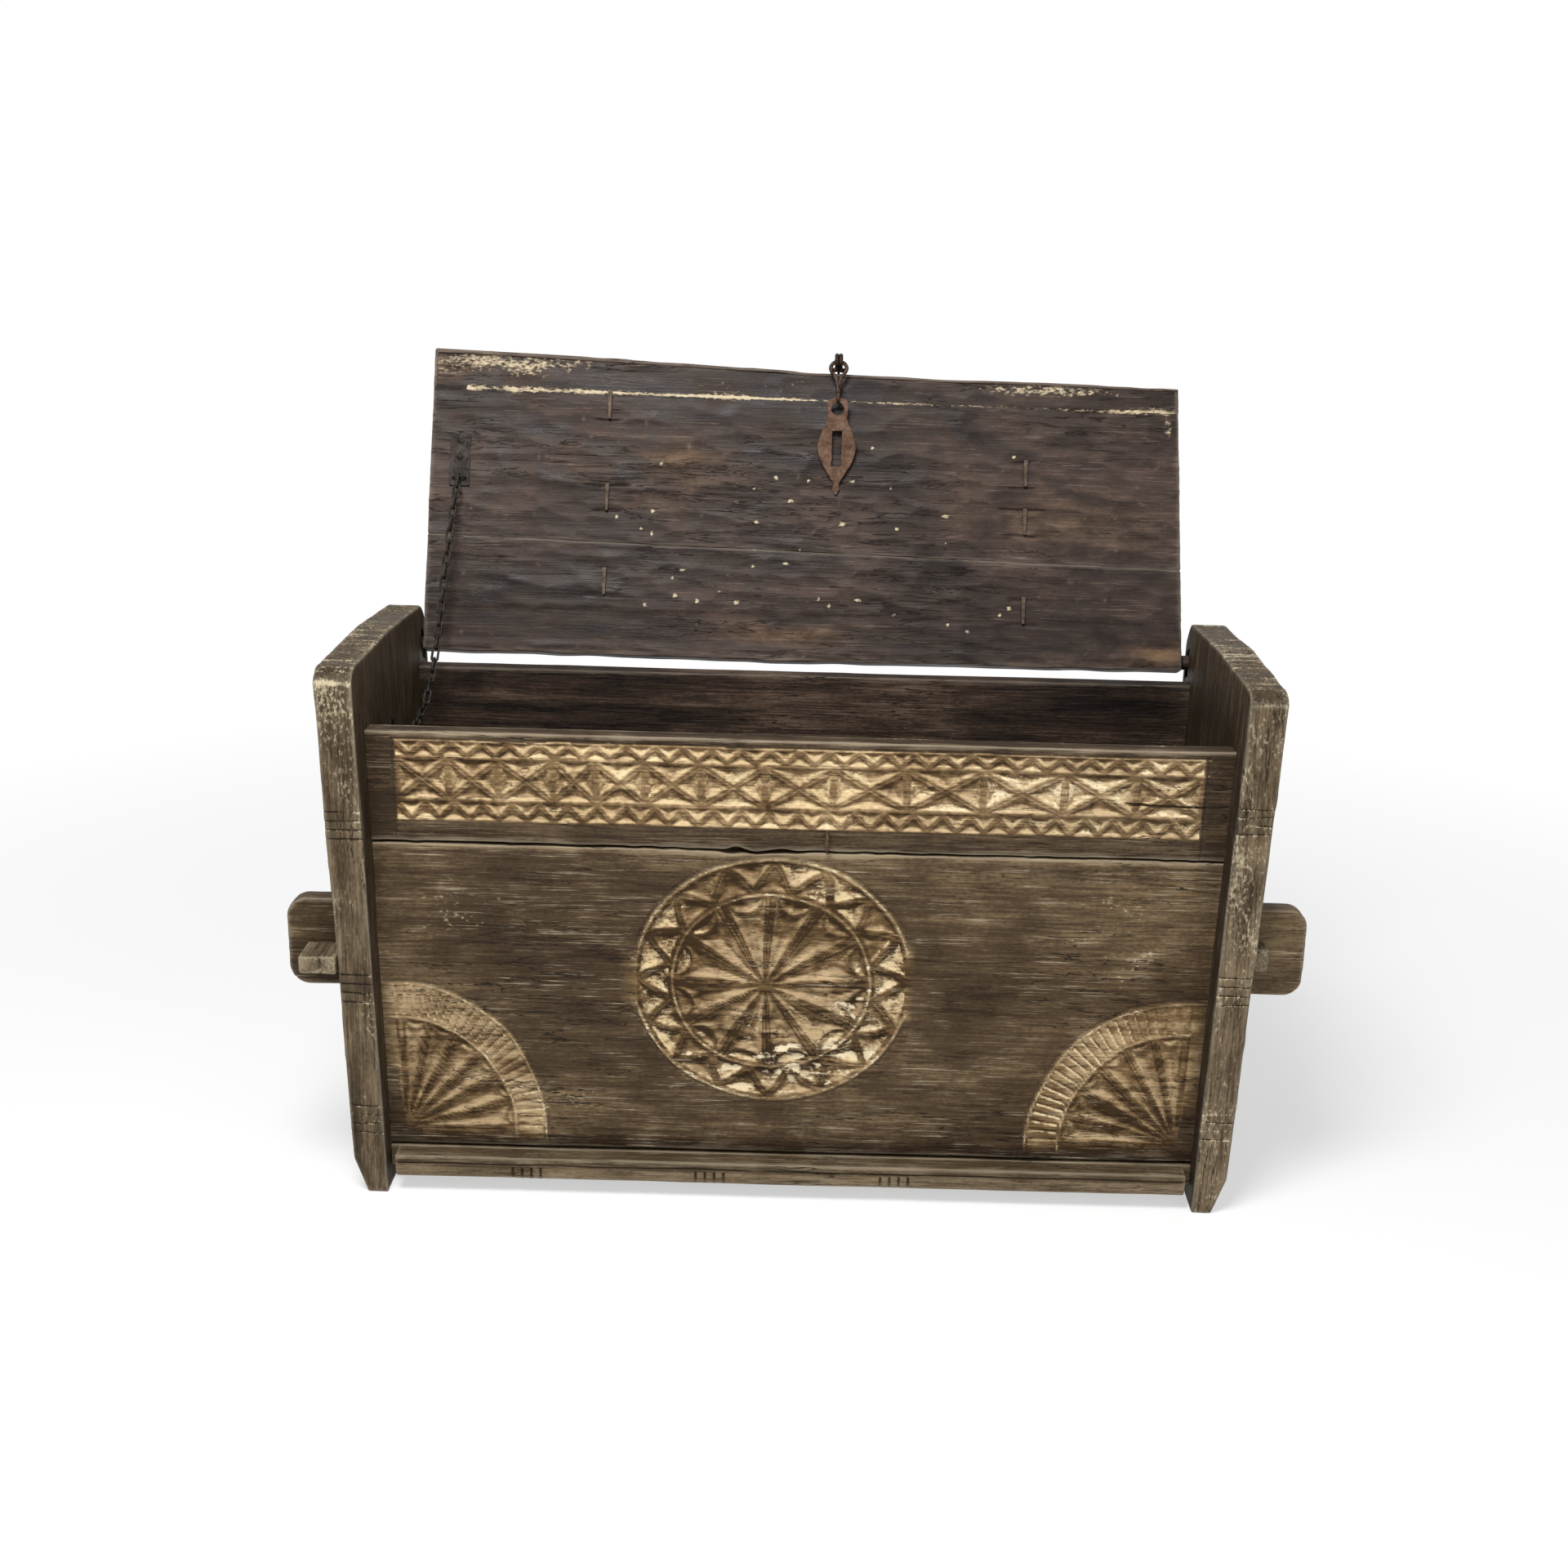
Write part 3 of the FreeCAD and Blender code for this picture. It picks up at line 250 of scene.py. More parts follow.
    # Raised fibres, sunk checks and an uneven, dull polish
    relief = add(tree, "Math", {0: split, 1: -1.6, 2: layers["fibre"]}, operation="MULTIPLY_ADD").outputs[0]
    relief = add(tree, "Math", {0: layers["speck"], 1: 0.5, 2: relief}, operation="MULTIPLY_ADD").outputs[0]
    bump = add(tree, "Bump", {"Height": relief, "Strength": 0.8, "Distance": 0.0055 * streak})
    rough = add(tree, "MapRange", {0: layers["mottle"], 1: 0.35, 2: 0.65, 3: gloss - 0.14, 4: gloss + 0.14})
    surface = add(tree, "BsdfPrincipled", {"Base Color": wood, "Roughness": rough.outputs[0],
                                           "Normal": bump.outputs[0], "Specular IOR Level": 0.14})
    add(tree, "OutputMaterial", {"Surface": surface.outputs[0]})
    return material


def fitted(name, meshes, material, body, node):
    whole = bmesh.new()
    for mesh in meshes:
        whole.from_mesh(mesh)
    made = bpy.data.meshes.new(name)
    whole.to_mesh(made)
    whole.free()
    for mesh in meshes:
        bpy.data.meshes.remove(mesh)
    made.materials.append(material)
    piece = bpy.data.objects.new(name, made)
    bpy.context.scene.collection.objects.link(piece)
    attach(piece, body)
    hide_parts(node)


# The frame's own places are rounded to a tenth of a millimetre
end_low, end_high = (corner.round(1) for corner in block("left_end_board"))
fore_edge = end_low[1]
rear_edge = end_high[1]
end_height = end_high[2]
pivot_run, pivot_height = joint_spot("lid_hinge")[1:].round(1)
end_blank = 40.0
end_thin = 38.0
end_gain = 5.5
toe_taper = 14.0
toe_height = 45.0
toe_set_back = 18.0
fore_round = 24.0
fore_drop = 20.0
rear_round = 38.0
rear_drop = 52.0
crest = 165.5
crest_fall = 11.0
arch_middle = 189.5
arch_half = 114.5
arch_rise = 13.0
slot_half = 10.5
slot_below = 9.0
slot_above = 32.0
slot_depth = 24.0
tally_pitch = 11.5
half_inner = 500.0
lean = 0.0258


def inner_face(z):
    return half_inner + (z - rim) * lean


def tally_rows(middles):
    return [middle + tally_pitch * (item - 1.5) for middle in middles for item in range(4)]


def around(rows, reach):
    return np.concatenate([[row - reach, row - reach / 2, row, row + reach / 2, row + reach] for row in rows])


def end_thickness(z):
    return end_thin + end_gain * z / end_height - toe_taper * np.clip((toe_height - z) / toe_height, 0, 1)


def end_outline(places, side):
    x, y, z = places.T
    rear_start = rear_edge - rear_round
    rear = np.clip((y - rear_start) / rear_round, 0, 1)
    fore = np.clip((fore_edge + fore_round - y) / fore_round, 0, 1)
    drop = fore_drop * (1 - np.sqrt(1 - fore * fore)) + rear_drop * (1 - np.sqrt(1 - rear * rear))
    drop += crest_fall * np.clip((y - crest) / (rear_start - crest), 0, 1)
    arch = arch_rise * np.clip(1 - ((y - arch_middle) / arch_half) ** 2, 0, 1)
    height = z - drop * soft_step(z, 430, end_height) + arch * (1 - soft_step(z, 0, 150))
    front = fore_edge + toe_set_back - toe_set_back * np.clip(z / (end_height - fore_drop), 0, 1)
    depth = front + (y - fore_edge) / (rear_edge - fore_edge) * (rear_edge - front)
    across = x / end_blank * end_thickness(z) + side * inner_face(z)
    return np.stack([across, depth, height], axis=1)


def end_relief(side, middles, seed):
    rows = tally_rows(middles)

    def worked(places, outward):
        x, y, z = places.T
        front = outward[:, 1] < -0.5
        inner = outward[:, 0] * side
        # Axe-dressed faces and ragged edges
        height = 0.8 * unevenness(places, (200, 70, 150), seed)
        height += 0.4 * unevenness(places, (60, 8, 130), seed + 1)
        height += 0.25 * unevenness(places, (40, 3.2, 80), seed + 2)
        ragged = 1.1 * unevenness(places, (60, 60, 38), seed + 3)
        ragged += 0.5 * unevenness(places, (14, 14, 12), seed + 4)
        height += np.where(np.abs(outward[:, 1]) > 0.5, ragged, 0)
        # Scribed tally marks, partly worn away
        nick = np.zeros(len(places))
        for number, row in enumerate(rows):
            slant = 0.05 * scrambled(np.array([[number, seed]]), 7)[0]
            gap = np.abs(z - row - slant * (x - side * end_blank / 2))
            nick = np.maximum(nick, np.clip(1 - gap / 1.8, 0, 1))
        nick *= soft_step(unevenness(places, (16, 40, 9), seed + 5), -0.8, 0.0) * front
        height -= 1.6 * nick
        # Slot for the lid's pivot
        seat = (inner < -0.7) & (np.abs(y - pivot_run) < slot_half)
        seat &= (z > pivot_height - slot_below) & (z < pivot_height + slot_above)
        height -= np.where(seat, slot_depth, 0)
        # Dark end grain on the crown with pale lines along the saw marks, painted as a sheen; dark inner
        # faces; a darker pivot slot, painted shade; flecks down the front edge
        top = soft_step(z, 560, 650)
        crown = top * (outward[:, 2] > 0.3)
        sawn = unevenness(places, (90, 3.4, 90), seed + 7) + 0.6 * unevenness(places, (30, 30, 30), seed + 8)
        tone = front * (0.25 + 0.35 * unevenness(places, (9, 60, 46), seed + 9)) - nick
        tone -= crown * (0.3 + 0.4 * sawn)
        # The pivot slot is darkened as painted shade
        tone -= (0.55 + 0.2 * side) * (inner < -0.5) * (1 - 0.6 * top) + 0.9 * seat
        upper = soft_step(z, 240, 620)
        flecks = unevenness(places, (30, 60, 60), seed + 6)
        paint_and_light = front * (0.16 + 0.05 * side + 0.13 * upper + 0.18 * flecks)
        # The crown's pale lines are a painted sheen, laid along the saw marks
        paint_and_light += crown * (0.24 + 0.35 * sawn)
        beside = np.clip(soft_step(nick, 0, 0.3) - soft_step(nick, 0.3, 0.7), 0, 1)
        paint_and_light += 0.32 * beside
        return {"height": height, "tone": tone, "paint_and_light": paint_and_light}

    return worked


# Oak that stood in the weather: grey-brown, dry and flecked, with worn silver arrises
weathered_oak = aged_wood("weathered_oak", 2, ("#2a2015", "#4a3d2c", "#7b6b54"), "#968b79", pale="#c6b899",
                          wear=0.4, scratch=0.35, fleck=0.12)
slot_runs = [pivot_run + side * reach for side in (-1, 1) for reach in (slot_half - 0.1, slot_half + 0.8)]
slot_heights = [pivot_height - slot_below - 1, pivot_height - slot_below,
                pivot_height + slot_above, pivot_height + slot_above + 1]
for name, side, middles, seed in (("left_end_board", -1, (470, 266, 98), 11),
                                  ("right_end_board", 1, (505, 291, 116), 31)):
    low = (min(0, side * end_blank), fore_edge, 0)
    high = (max(0, side * end_blank), rear_edge, end_height)
    marks = ((), slot_runs, np.concatenate([around(tally_rows(middles), 2.0), slot_heights]))
    mesh = timber(name, low, high, (6, 3.8, 3.8), 3.0, end_relief(side, middles, seed),
                  lambda places, side=side: end_outline(places, side), seed, marks)
    fitted(name + "_wood", [mesh], weathered_oak, "chest", name)

# Sill rails: squared rails housed in the end boards under the front and the back.
# The front one stands proud, with a planed groove and three groups of nicks cut in its face.
sill_base = 21.0
sill_top = 48.0
groove_height = 39.0
nosing_half = 490.0
nosing_face = -30.0
nosing_rear = -1.0
sill_rear = 50.0
back_sill_runs = (307.0, 359.0)
housed_half = half_inner + 9


# The end boards lean outwards, so a board between them widens with height
def housed(places):
    reach = inner_face(places[:, 2]) / half_inner
    return places * np.stack([reach, np.ones_like(reach), np.ones_like(reach)], axis=1)


def sill_relief(seed, nicks):
    def worked(places, outward):
        x, _, z = places.T
        front = outward[:, 1] < -0.5
        height = 0.5 * unevenness(places, (120, 40, 20), seed)
        height += 0.3 * unevenness(places, (70, 5, 4), seed + 1)
        nick = np.zeros(len(places))
        for row in nicks:
            nick = np.maximum(nick, np.clip(1 - np.abs(x - row) / 2.2, 0, 1))
        nick *= front * (z < groove_height - 3)
        wander = unevenness(places, (60, 60, 60), seed + 4)
        groove = np.clip(1 - np.abs(z - groove_height + wander) / 1.3, 0, 1) * front
        height -= 2.4 * nick + 1.8 * groove
        worn = unevenness(places, (90, 90, 90), seed + 3)
        lower = 0.35 * soft_step(z, groove_height - 1, groove_height - 5) * front
        return {"height": height, "tone": lower - 1.2 * groove - 1.4 * nick + 0.3 * worn,
                "paint_and_light": 0.1 * lower, "warm": 0.4 * lower}
    return worked


sill_nicks = tally_rows((-327, -100, 129))
# Oak rubbed by feet and brooms: brown, scratched along its length, pale at the arrises
rail_oak = aged_wood("rail_oak", 0, ("#2f2416", "#4a3c2a", "#7c6d57"), "#91856f",
                     ("#33261a", "#5c4a34", "#8a7456"), pale="#cdbf9f", wear=0.55, scratch=0.6, fleck=0.05)
groove_rows = groove_height + np.array([-1.4, -0.5, 0.4, 1.3])
nosing = timber("front_sill", (-nosing_half, nosing_face, sill_base), (nosing_half, nosing_rear, sill_top),
                (4, 5, 2.2), 3.4, sill_relief(51, sill_nicks), housed, 51,
                (around(sill_nicks, 2.2), (), groove_rows))
mesh = timber("front_sill_inner", (-housed_half, nosing_rear - 0.5, sill_base),
              (housed_half, sill_rear, sill_top - 0.5), (9, 6, 5), 2, sill_relief(56, ()), housed, 56)
fitted("front_sill_wood", [nosing, mesh], rail_oak, "chest", "front_sill_rail")


# Cups of an adze: how far each spot lies from the nearest cup, and how near it is to a rim between two
def adzed(spots, cup, seed):
    spots = spots / np.asarray(cup, float)
    cells = np.floor(spots).astype(np.int64)
    nearest = np.full(len(spots), 9.0)
    second = np.full(len(spots), 9.0)
    for step in np.ndindex(3, 3):
        cell = cells + np.array(step) - 1
        middle = cell + 0.5 + 0.38 * np.stack([scrambled(cell, seed), scrambled(cell, seed + 9)], axis=1)
        gap = ((spots - middle) ** 2).sum(axis=1)
        second = np.minimum(second, np.maximum(nearest, gap))
        nearest = np.minimum(nearest, gap)
    return nearest, np.exp(-(second - nearest) / 0.07)


def plain_relief(seed, rough=0.6, cups=0.0):
    def worked(places, outward):
        height = rough * unevenness(places, (150, 60, 40), seed)
        height += 0.4 * rough * unevenness(places, (110, 7, 6), seed + 1)
        tone = 0.35 * unevenness(places, (210, 90, 90), seed + 4)
        if cups:
            nearest, _ = adzed(places[:, (0, 2)], (48, 26), seed + 2)
            height += cups * (nearest - 0.35) * (np.abs(outward[:, 1]) > 0.7)
            tone += 0.7 * unevenness(places, (130, 60, 12), seed + 5)
        return {"height": height, "tone": tone}
    return worked


# Oak kept from the light: almost black in the grain, brown and dull between
inner_oak = aged_wood("dark_inner_oak", 0, ("#130d0b", "#33271e", "#635143"), "#7d7062", wear=0.4,
                      scratch=0.15)
low = (-housed_half, back_sill_runs[0], sill_base)
high = (housed_half, back_sill_runs[1], sill_top)
mesh = timber("back_sill", low, high, (9, 6, 5), 3, plain_relief(61), housed, 61)
fitted("back_sill_wood", [mesh], inner_oak, "chest", "back_sill_rail")

# Floor: three planks laid lengthways on the rails and housed in the end boards.
# Split oak, rough underneath and rubbed darker inside.
for number in (1, 2, 3):
    node = "floor_plank_%d" % number
    seed = 70 + number
    low, high = block(node)
    low[0], high[0] = -housed_half, housed_half
    mesh = timber("floor", low, high, (9, 6, 6), 1.6, plain_relief(seed, 0.5), housed, seed)
    fitted(node + "_wood", [mesh], inner_oak, "chest", node)

# Back: two plain boards, the lower one with a through tenon at each end.
# Dressed with an adze, which leaves shallow cups in rows along the board.
board_thickness = 28.0
back_face = 331.0
back_seam = 330.0
back_top = 566.6
back_cups = 1.3
tenon_height = 108.0
tenon_root = 28.0
tenon_reach = 68.0


# Rounds the two corners of a tenon's free end
def tenon_end(places, end, low, rounding):
    x, y, z = places.T
    side = np.sign(end)
    half = tenon_height / 2
    middle = low + half
    over = np.clip(x * side - (abs(end) - rounding), 0, None)
    rise = np.clip(np.abs(z - middle) - (half - rounding), 0, None)
    length = np.hypot(over, rise)
    share = np.where(length > 0, np.maximum(over, rise) / np.maximum(length, 1e-9), 1)
    x = x - side * over * (1 - share)
    z = z - np.sign(z - middle) * rise * (1 - share)
    return np.stack([x, y, z], axis=1)


def tenon(name, side, low, rounding, face, seed, tone):
    start = inner_face(low) + tenon_root
    end = inner_face(low) + end_thickness(low) + tenon_reach
    span = sorted((side * start, side * end))

    def worked(places, outward):
        height = 0.7 * unevenness(places, (40, 20, 40), seed)
        height += 0.35 * unevenness(places, (60, 8, 6), seed + 1)
        return {"height": height, "tone": tone + 0.4 * unevenness(places, (60, 60, 40), seed + 2)}

    high = (span[1], face + board_thickness, low + tenon_height)
    return timber(name, (span[0], face, low), high, (4, 4, 4), 3.5, worked,
                  lambda places: tenon_end(places, side * end, low, rounding), seed)


back_low = (-housed_half, back_face, sill_top)
back_high = (housed_half, back_face + board_thickness, back_top)
mesh = timber("back_upper", (*back_low[:2], back_seam), back_high, (6, 9, 6), 3.2,
              plain_relief(81, 0.5, back_cups), housed, 81)
fitted("back_upper_wood", [mesh], inner_oak, "chest", "back_upper_board")
mesh = timber("back_lower", back_low, (*back_high[:2], back_seam - 0.6), (6, 9, 6), 2.4,
              plain_relief(85, 0.5, back_cups), housed, 85)
ears = [tenon("rear_tenon", side, 200, 22, back_face, 87 + side, 0.0) for side in (-1, 1)]
fitted("back_lower_wood", [mesh] + ears, inner_oak, "chest", "back_lower_board")

# Front panel: one broad oak board with a rosette and two corner fans cut into it with knife and gouge.
# Its ends pass through the end boards as tenons. Paint is left in the hollows, and the middle has flaked.
seam_height = 436.5
rosette = (-27.0, 274.0)
rosette_outer = 156.0
rosette_inner = 112.0
rosette_rays = 12
rosette_teeth = 16
tooth_low = 117.0
tooth_high = 150.0
fan_spot = (478.0, 72.0)
fan_outer = 186.0
fan_inner = 145.0
fan_from = fan_spot[0] - 196
fan_nicks = 24
fan_rays = 6
quarter = math.pi / 2


def chipped(room, slope, deepest):
    ramp = 0.5 * np.logaddexp(0, room / 0.5)
    return deepest * (1 - np.exp(-slope * ramp / deepest))


def scored(gap, half_width, depth):
    return depth * np.clip(1 - np.abs(gap) / half_width, 0, 1)


def zigzag_gap(along, up, pitch, low, high):
    turn = along / pitch
    wave = 0.65 * np.abs(turn - np.floor(turn) - 0.5) * 2 + 0.35 * (0.5 + 0.5 * np.cos(math.tau * turn))
    return np.abs(up - low - (high - low) * wave) / np.hypot(1, 2 * (high - low) / pitch)


# Hollow petals between narrow ribs, each closed by a scooped lunette under the ring
def petals(radius, angle, step, hub, ring, widen):
    off = np.abs(angle / step - np.rint(angle / step)) * step
    gap = radius * np.sin(off)
    side = gap - 1.3 - widen * radius
    scoop = 0.34 * step * ring
    away = np.hypot(radius * np.sin(step / 2 - off), radius * np.cos(step / 2 - off) - ring - 1)
    lunette = np.minimum(scoop - away, np.minimum(ring - 4 - radius, side))
    leaf = np.minimum(side, np.minimum(away - scoop - 1.5, radius - hub))
    depth = np.maximum(chipped(leaf, 0.6, 8.5), chipped(lunette, 1.0, 6.0))
    line = scored(gap, 1.1, 1.0) * (radius > hub + 3) * (radius < ring)
    line = np.maximum(line, 0.7 * scored(side, 1.3, 1.0) * (radius > hub + 12) * (radius < ring - 4))
    return depth + 0.9 * line, np.clip(lunette / 1.5, 0, 1), line, np.clip(leaf / 1.5, 0, 1)


def gouge_marks(radius, angle, spread, ring, seed):
    lines = np.stack([radius, angle * spread, 0 * radius], axis=1)
    return unevenness(lines, (50, 2.6, 1), seed) * (radius < ring) * soft_step(radius, 15, 50)


def rosette_cut(places, wobble):
    across = (places[:, 0] - rosette[0]) * 0.97 + wobble
    up = (places[:, 2] - rosette[1]) * 1.06 + wobble
    # The carver's hub lies a little to the left of the ring's middle and below it
    pull = np.clip(1 - np.hypot(across, up) / rosette_outer, 0, 1)
    across, up = across + 8 * pull, up + 7 * pull
    radius = np.hypot(across, up) * 0.965
    angle = np.arctan2(up, across) + 0.035 * unevenness(places, (70, 60, 70), 110)
    tooth_pitch = np.maximum(radius, 1) * math.tau / rosette_teeth
    gap = zigzag_gap(angle * radius, radius, tooth_pitch, tooth_low, tooth_high)
    band = np.minimum(gap - 3.4, np.minimum(radius - tooth_low + 0.5, tooth_high + 1.5 - radius))
    in_band = (radius > tooth_low - 3) & (radius < tooth_high + 3)
    rays = petals(radius, angle, math.tau / rosette_rays, 6, rosette_inner, 0.042)
    depth, cream, line, leaf = (part * (radius < rosette_inner - 1) for part in rays)
    depth += (chipped(band, 0.95, 5.6) + scored(gap, 1.1, 0.9)) * in_band
    cream = np.maximum(cream, np.clip(band / 1.5, 0, 1) * in_band)
    disc = soft_step(radius, rosette_outer + 3, rosette_outer - 3)
    bead = np.maximum(scored(radius - rosette_outer, 3.6, 1.0), scored(radius - rosette_inner, 2.6, 1.0))
    depth = np.maximum(depth * disc, scored(radius - rosette_outer - 4, 2.4, 1.8))
    return depth, bead, disc, cream, leaf, line, gouge_marks(radius, angle, 45, rosette_inner, 111)


def fan_cut(places, wobble, side):
    across = (places[:, 0] - side * fan_spot[0]) * -side * (1.03 - 0.04 * side) + wobble
    up = places[:, 2] - fan_spot[1] + wobble
    radius = np.hypot(across, up) + 1e-6
    angle = np.arctan2(up, across)
    inside = (angle > -0.06) & (angle < quarter + 0.12) & (radius < fan_outer + 8)
    step = quarter / fan_nicks
    gap = (angle / step - np.floor(angle / step) - 0.5) * step * radius
    tongue = (radius > fan_inner + 3) & (radius < fan_outer - 3) & inside
    rays, hollow, line, leaf = petals(radius, angle, quarter / fan_rays, 12, fan_inner, 0.024)
    depth = np.maximum(scored(gap, 2.2, 2.2) * tongue, rays * inside * (radius < fan_inner - 3))
    depth = np.maximum(depth, scored(radius - fan_outer - 4, 2.4, 1.8) * inside)
    bead = np.maximum(scored(radius - fan_inner, 2.6, 1.0), scored(radius - fan_outer, 2.6, 1.0)) * inside
    disc = soft_step(radius, fan_outer + 3, fan_outer - 3) * inside * 0.8
    cream = np.maximum(scored(gap + 1.2, 2.0, 0.8) * tongue, 0.5 * hollow * inside)
    leaf = np.maximum(leaf, tongue) * inside
    marks = gouge_marks(radius, angle, 55, fan_inner, 112) * inside
    return depth, bead, disc, cream, leaf, line * inside, marks


def panel_cut(places):
    wobble = 1.5 * unevenness(places, (50, 60, 50), 109)
    *cuts, streak = rosette_cut(places, wobble)
    for side in (-1, 1):
        *fan, marks = fan_cut(places, wobble, side)
        cuts = [np.maximum(cut, more) for cut, more in zip(cuts, fan)]
        streak = streak + marks
    return *cuts, streak


# Dust, and painted light from above, lie on the lower slope of each cut, which faces up; the upper slope gets
# painted shade
def dust_and_slope_light(places, cut):
    rise = np.array([0, 0, 1.5])
    return np.clip((cut(places + rise)[0] - cut(places - rise)[0]) / 2.4, -1, 1)


def panel_relief(places, outward):
    x, _, z = places.T
    front = outward[:, 1] < -0.7
    depth, bead, disc, cream, leaf, line, streak = panel_cut(places)
    dust_and_light = dust_and_slope_light(places, panel_cut)
    # The rosette's lower rim and its sides have flaked away in thin plates
    flaked = patch(places, (rosette[0] + 5, rosette[1] - 90), (125, 48))
    flaked = np.maximum(flaked, 0.9 * patch(places, (rosette[0] + 88, rosette[1] - 24), (54, 44)))
    flaked = np.maximum(flaked, 0.6 * patch(places, (rosette[0] - 96, rosette[1] - 20), (36, 30)))
    plates = unevenness(places, (30, 60, 9), 103) + 0.6 * unevenness(places, (11, 60, 5), 113)
    flaked = flaked * soft_step(plates, -0.25, 0.05)
    chalky = flaked * soft_step(unevenness(places, (16, 60, 6), 114), 0.0, 0.3)
    checked = patch(places, (-430, 190), (46, 40)) + patch(places, (420, 130), (60, 40))
    cracks = np.clip(1 - np.abs(unevenness(places, (90, 60, 8), 105)) / 0.12, 0, 1)
    cracks = cracks * np.clip(flaked + 0.6 * checked, 0, 1)
    # Planed ground, worn carving and the rule above the sill
    wear = 0.85 + 0.2 * unevenness(places, (60, 60, 36), 104)
    foot = scored(z - 66, 3.0, 2.4) * (np.abs(x) < 492)
    ragged = unevenness(places, (9, 60, 4.5), 115) * disc
    height = 0.7 * unevenness(places, (170, 60, 60), 101) + 0.35 * unevenness(places, (110, 20, 6), 102)
    height -= depth * wear * (1 - 0.3 * flaked) * front
    height -= (foot + 1.2 * flaked + 2.2 * cracks - 1.5 * bead * wear + 0.5 * ragged) * front
    # Paint in the hollows, on the beads and in a few scuffs, paler on the slopes that face up, where dust and
    # painted light lie
    bare = unevenness(places, (40, 60, 30), 106)
    scuffs = patch(places, (-395, 345), (95, 70)) + patch(places, (395, 330), (110, 75))
    scuffs += 0.8 * patch(places, (-250, 110), (110, 40))
    paint_and_light = cream * (0.38 + 0.36 * bare + 0.3 * dust_and_light)
    paint_and_light += leaf * disc * (0.04 + 0.22 * dust_and_light + 0.2 * streak + 0.25 * bare)
    paint_and_light += 0.6 * chalky + 0.55 * bead + 0.3 * scuffs * (1 - disc) + 0.12 * ragged
    gold = np.clip(0.55 + 0.4 * bare - 0.8 * flaked - 0.3 * (x > 150) - 0.5 * bead, 0, 1)
    # Lighter beads, darker cracks, ribs and knife lines; slopes of the cuts that face up painted lighter and
    # those facing down darker, as painted light and shade with dust; a painted shadow along the joint above
    # the sill
    rib = disc * (1 - np.maximum(cream, leaf))
    tone = 0.35 * unevenness(places, (260, 60, 90), 107) - 0.4 * patch(places, (-330, 330), (170, 90))
    tone += 0.9 * bead - 1.4 * cracks + 0.85 * dust_and_light * disc + 0.25 * streak - 0.3 * flaked
    tone += 0.2 * leaf * disc - 0.3 * rib - 0.6 * line + 0.25 * disc * (np.abs(x) > fan_from)
    tone += 0.25 * unevenness(places, (26, 60, 9), 116) * disc - 0.3 * ragged
    # The dark band along the panel's foot, just above the sill, is a painted shadow
    tone += 0.5 * soft_step(z, 426, 434) - 1.4 * scored(z - 52, 8, 1)
    brown = patch(places, (330, 190), (190, 170)) * 0.6 + patch(places, (470, 300), (90, 180)) * 0.5
    warm = (0.25 * brown + 0.95 * disc) * (1 - 0.5 * flaked)
    return {"height": height, "paint_and_light": np.clip(paint_and_light, 0, 1) * front, "gold": gold, "tone": tone * front,
            "warm": np.clip(warm, 0, 1) * front}


# The seam under the frieze sags in the middle and is frayed all along
def seam_lip(places, sag):
    frayed = 0.9 * unevenness(places * (1, 0, 0), (16, 1, 1), 108)
    return np.clip(sag * patch(places, (-55, seam_height), (62, 40)) + frayed, 0, None)


def panel_shape(places):
    drop = seam_lip(places, 3.6) * soft_step(places[:, 2], 400, seam_height)
    return housed(places - drop[:, None] * (0, 0, 1))


# Oak cut with a knife: brown ground with many scratches, honey-coloured where the cuts bared it
carved_oak = aged_wood("carved_oak", 0, ("#2a1d11", "#483928", "#7a674b"), "#a2957f",
                       ("#35240f", "#6d5638", "#b39a76"), pale="#e2d3b2", gold="#c8ae80", wear=0.45,
                       scratch=0.8, fleck=0.02, streak=0.24)
# The mesh is fine only where the rosette and the fans are cut
rosette_x = np.arange(rosette[0] - 163, rosette[0] + 161, 1.75)
left_fan_x = np.arange(-fan_spot[0] - 8, -fan_from, 2.7)
right_fan_x = np.arange(fan_from, fan_spot[0] + 8, 2.7)
fine_x = np.concatenate([rosette_x, left_fan_x, right_fan_x])
fine_z = np.arange(fan_spot[1] - 2, seam_height - 6.5, 1.95)
panel_low = (-housed_half, 0, sill_top + 3)
panel_high = (housed_half, board_thickness, seam_height - 1.4)
mesh = timber("front_panel", panel_low, panel_high, (22, 9, 40), 2.2, panel_relief, panel_shape, 100,
              (fine_x, (), fine_z), plain_back=True)
ears = [tenon("front_tenon_left", -1, 255, 24, 0, 111, -0.1),
        tenon("front_tenon_right", 1, 271, 22, 0, 121, 0.45)]
fitted("front_panel_wood", [mesh] + ears, carved_oak, "chest", "front_panel_board")

# Frieze: the upper front board, with two toothed bands and a row of crossed panels left as raised ribs.
# The cut ground between the ribs keeps ochre paint on the left and whiter paint on the right.
carved_half = 468.0
tooth_pitch = carved_half * 2 / 28
tooth_bands = ((rim - 30, rim - 12), (rim - 106, rim - 85))
cross_low = rim - 81
cross_high = rim - 33.5
cross_shares = [60, 58, 63, 48, 57, 66, 73, 80, 83, 88, 92, 84, 76]
rule_high = rim - 9
rule_low = rim - 109


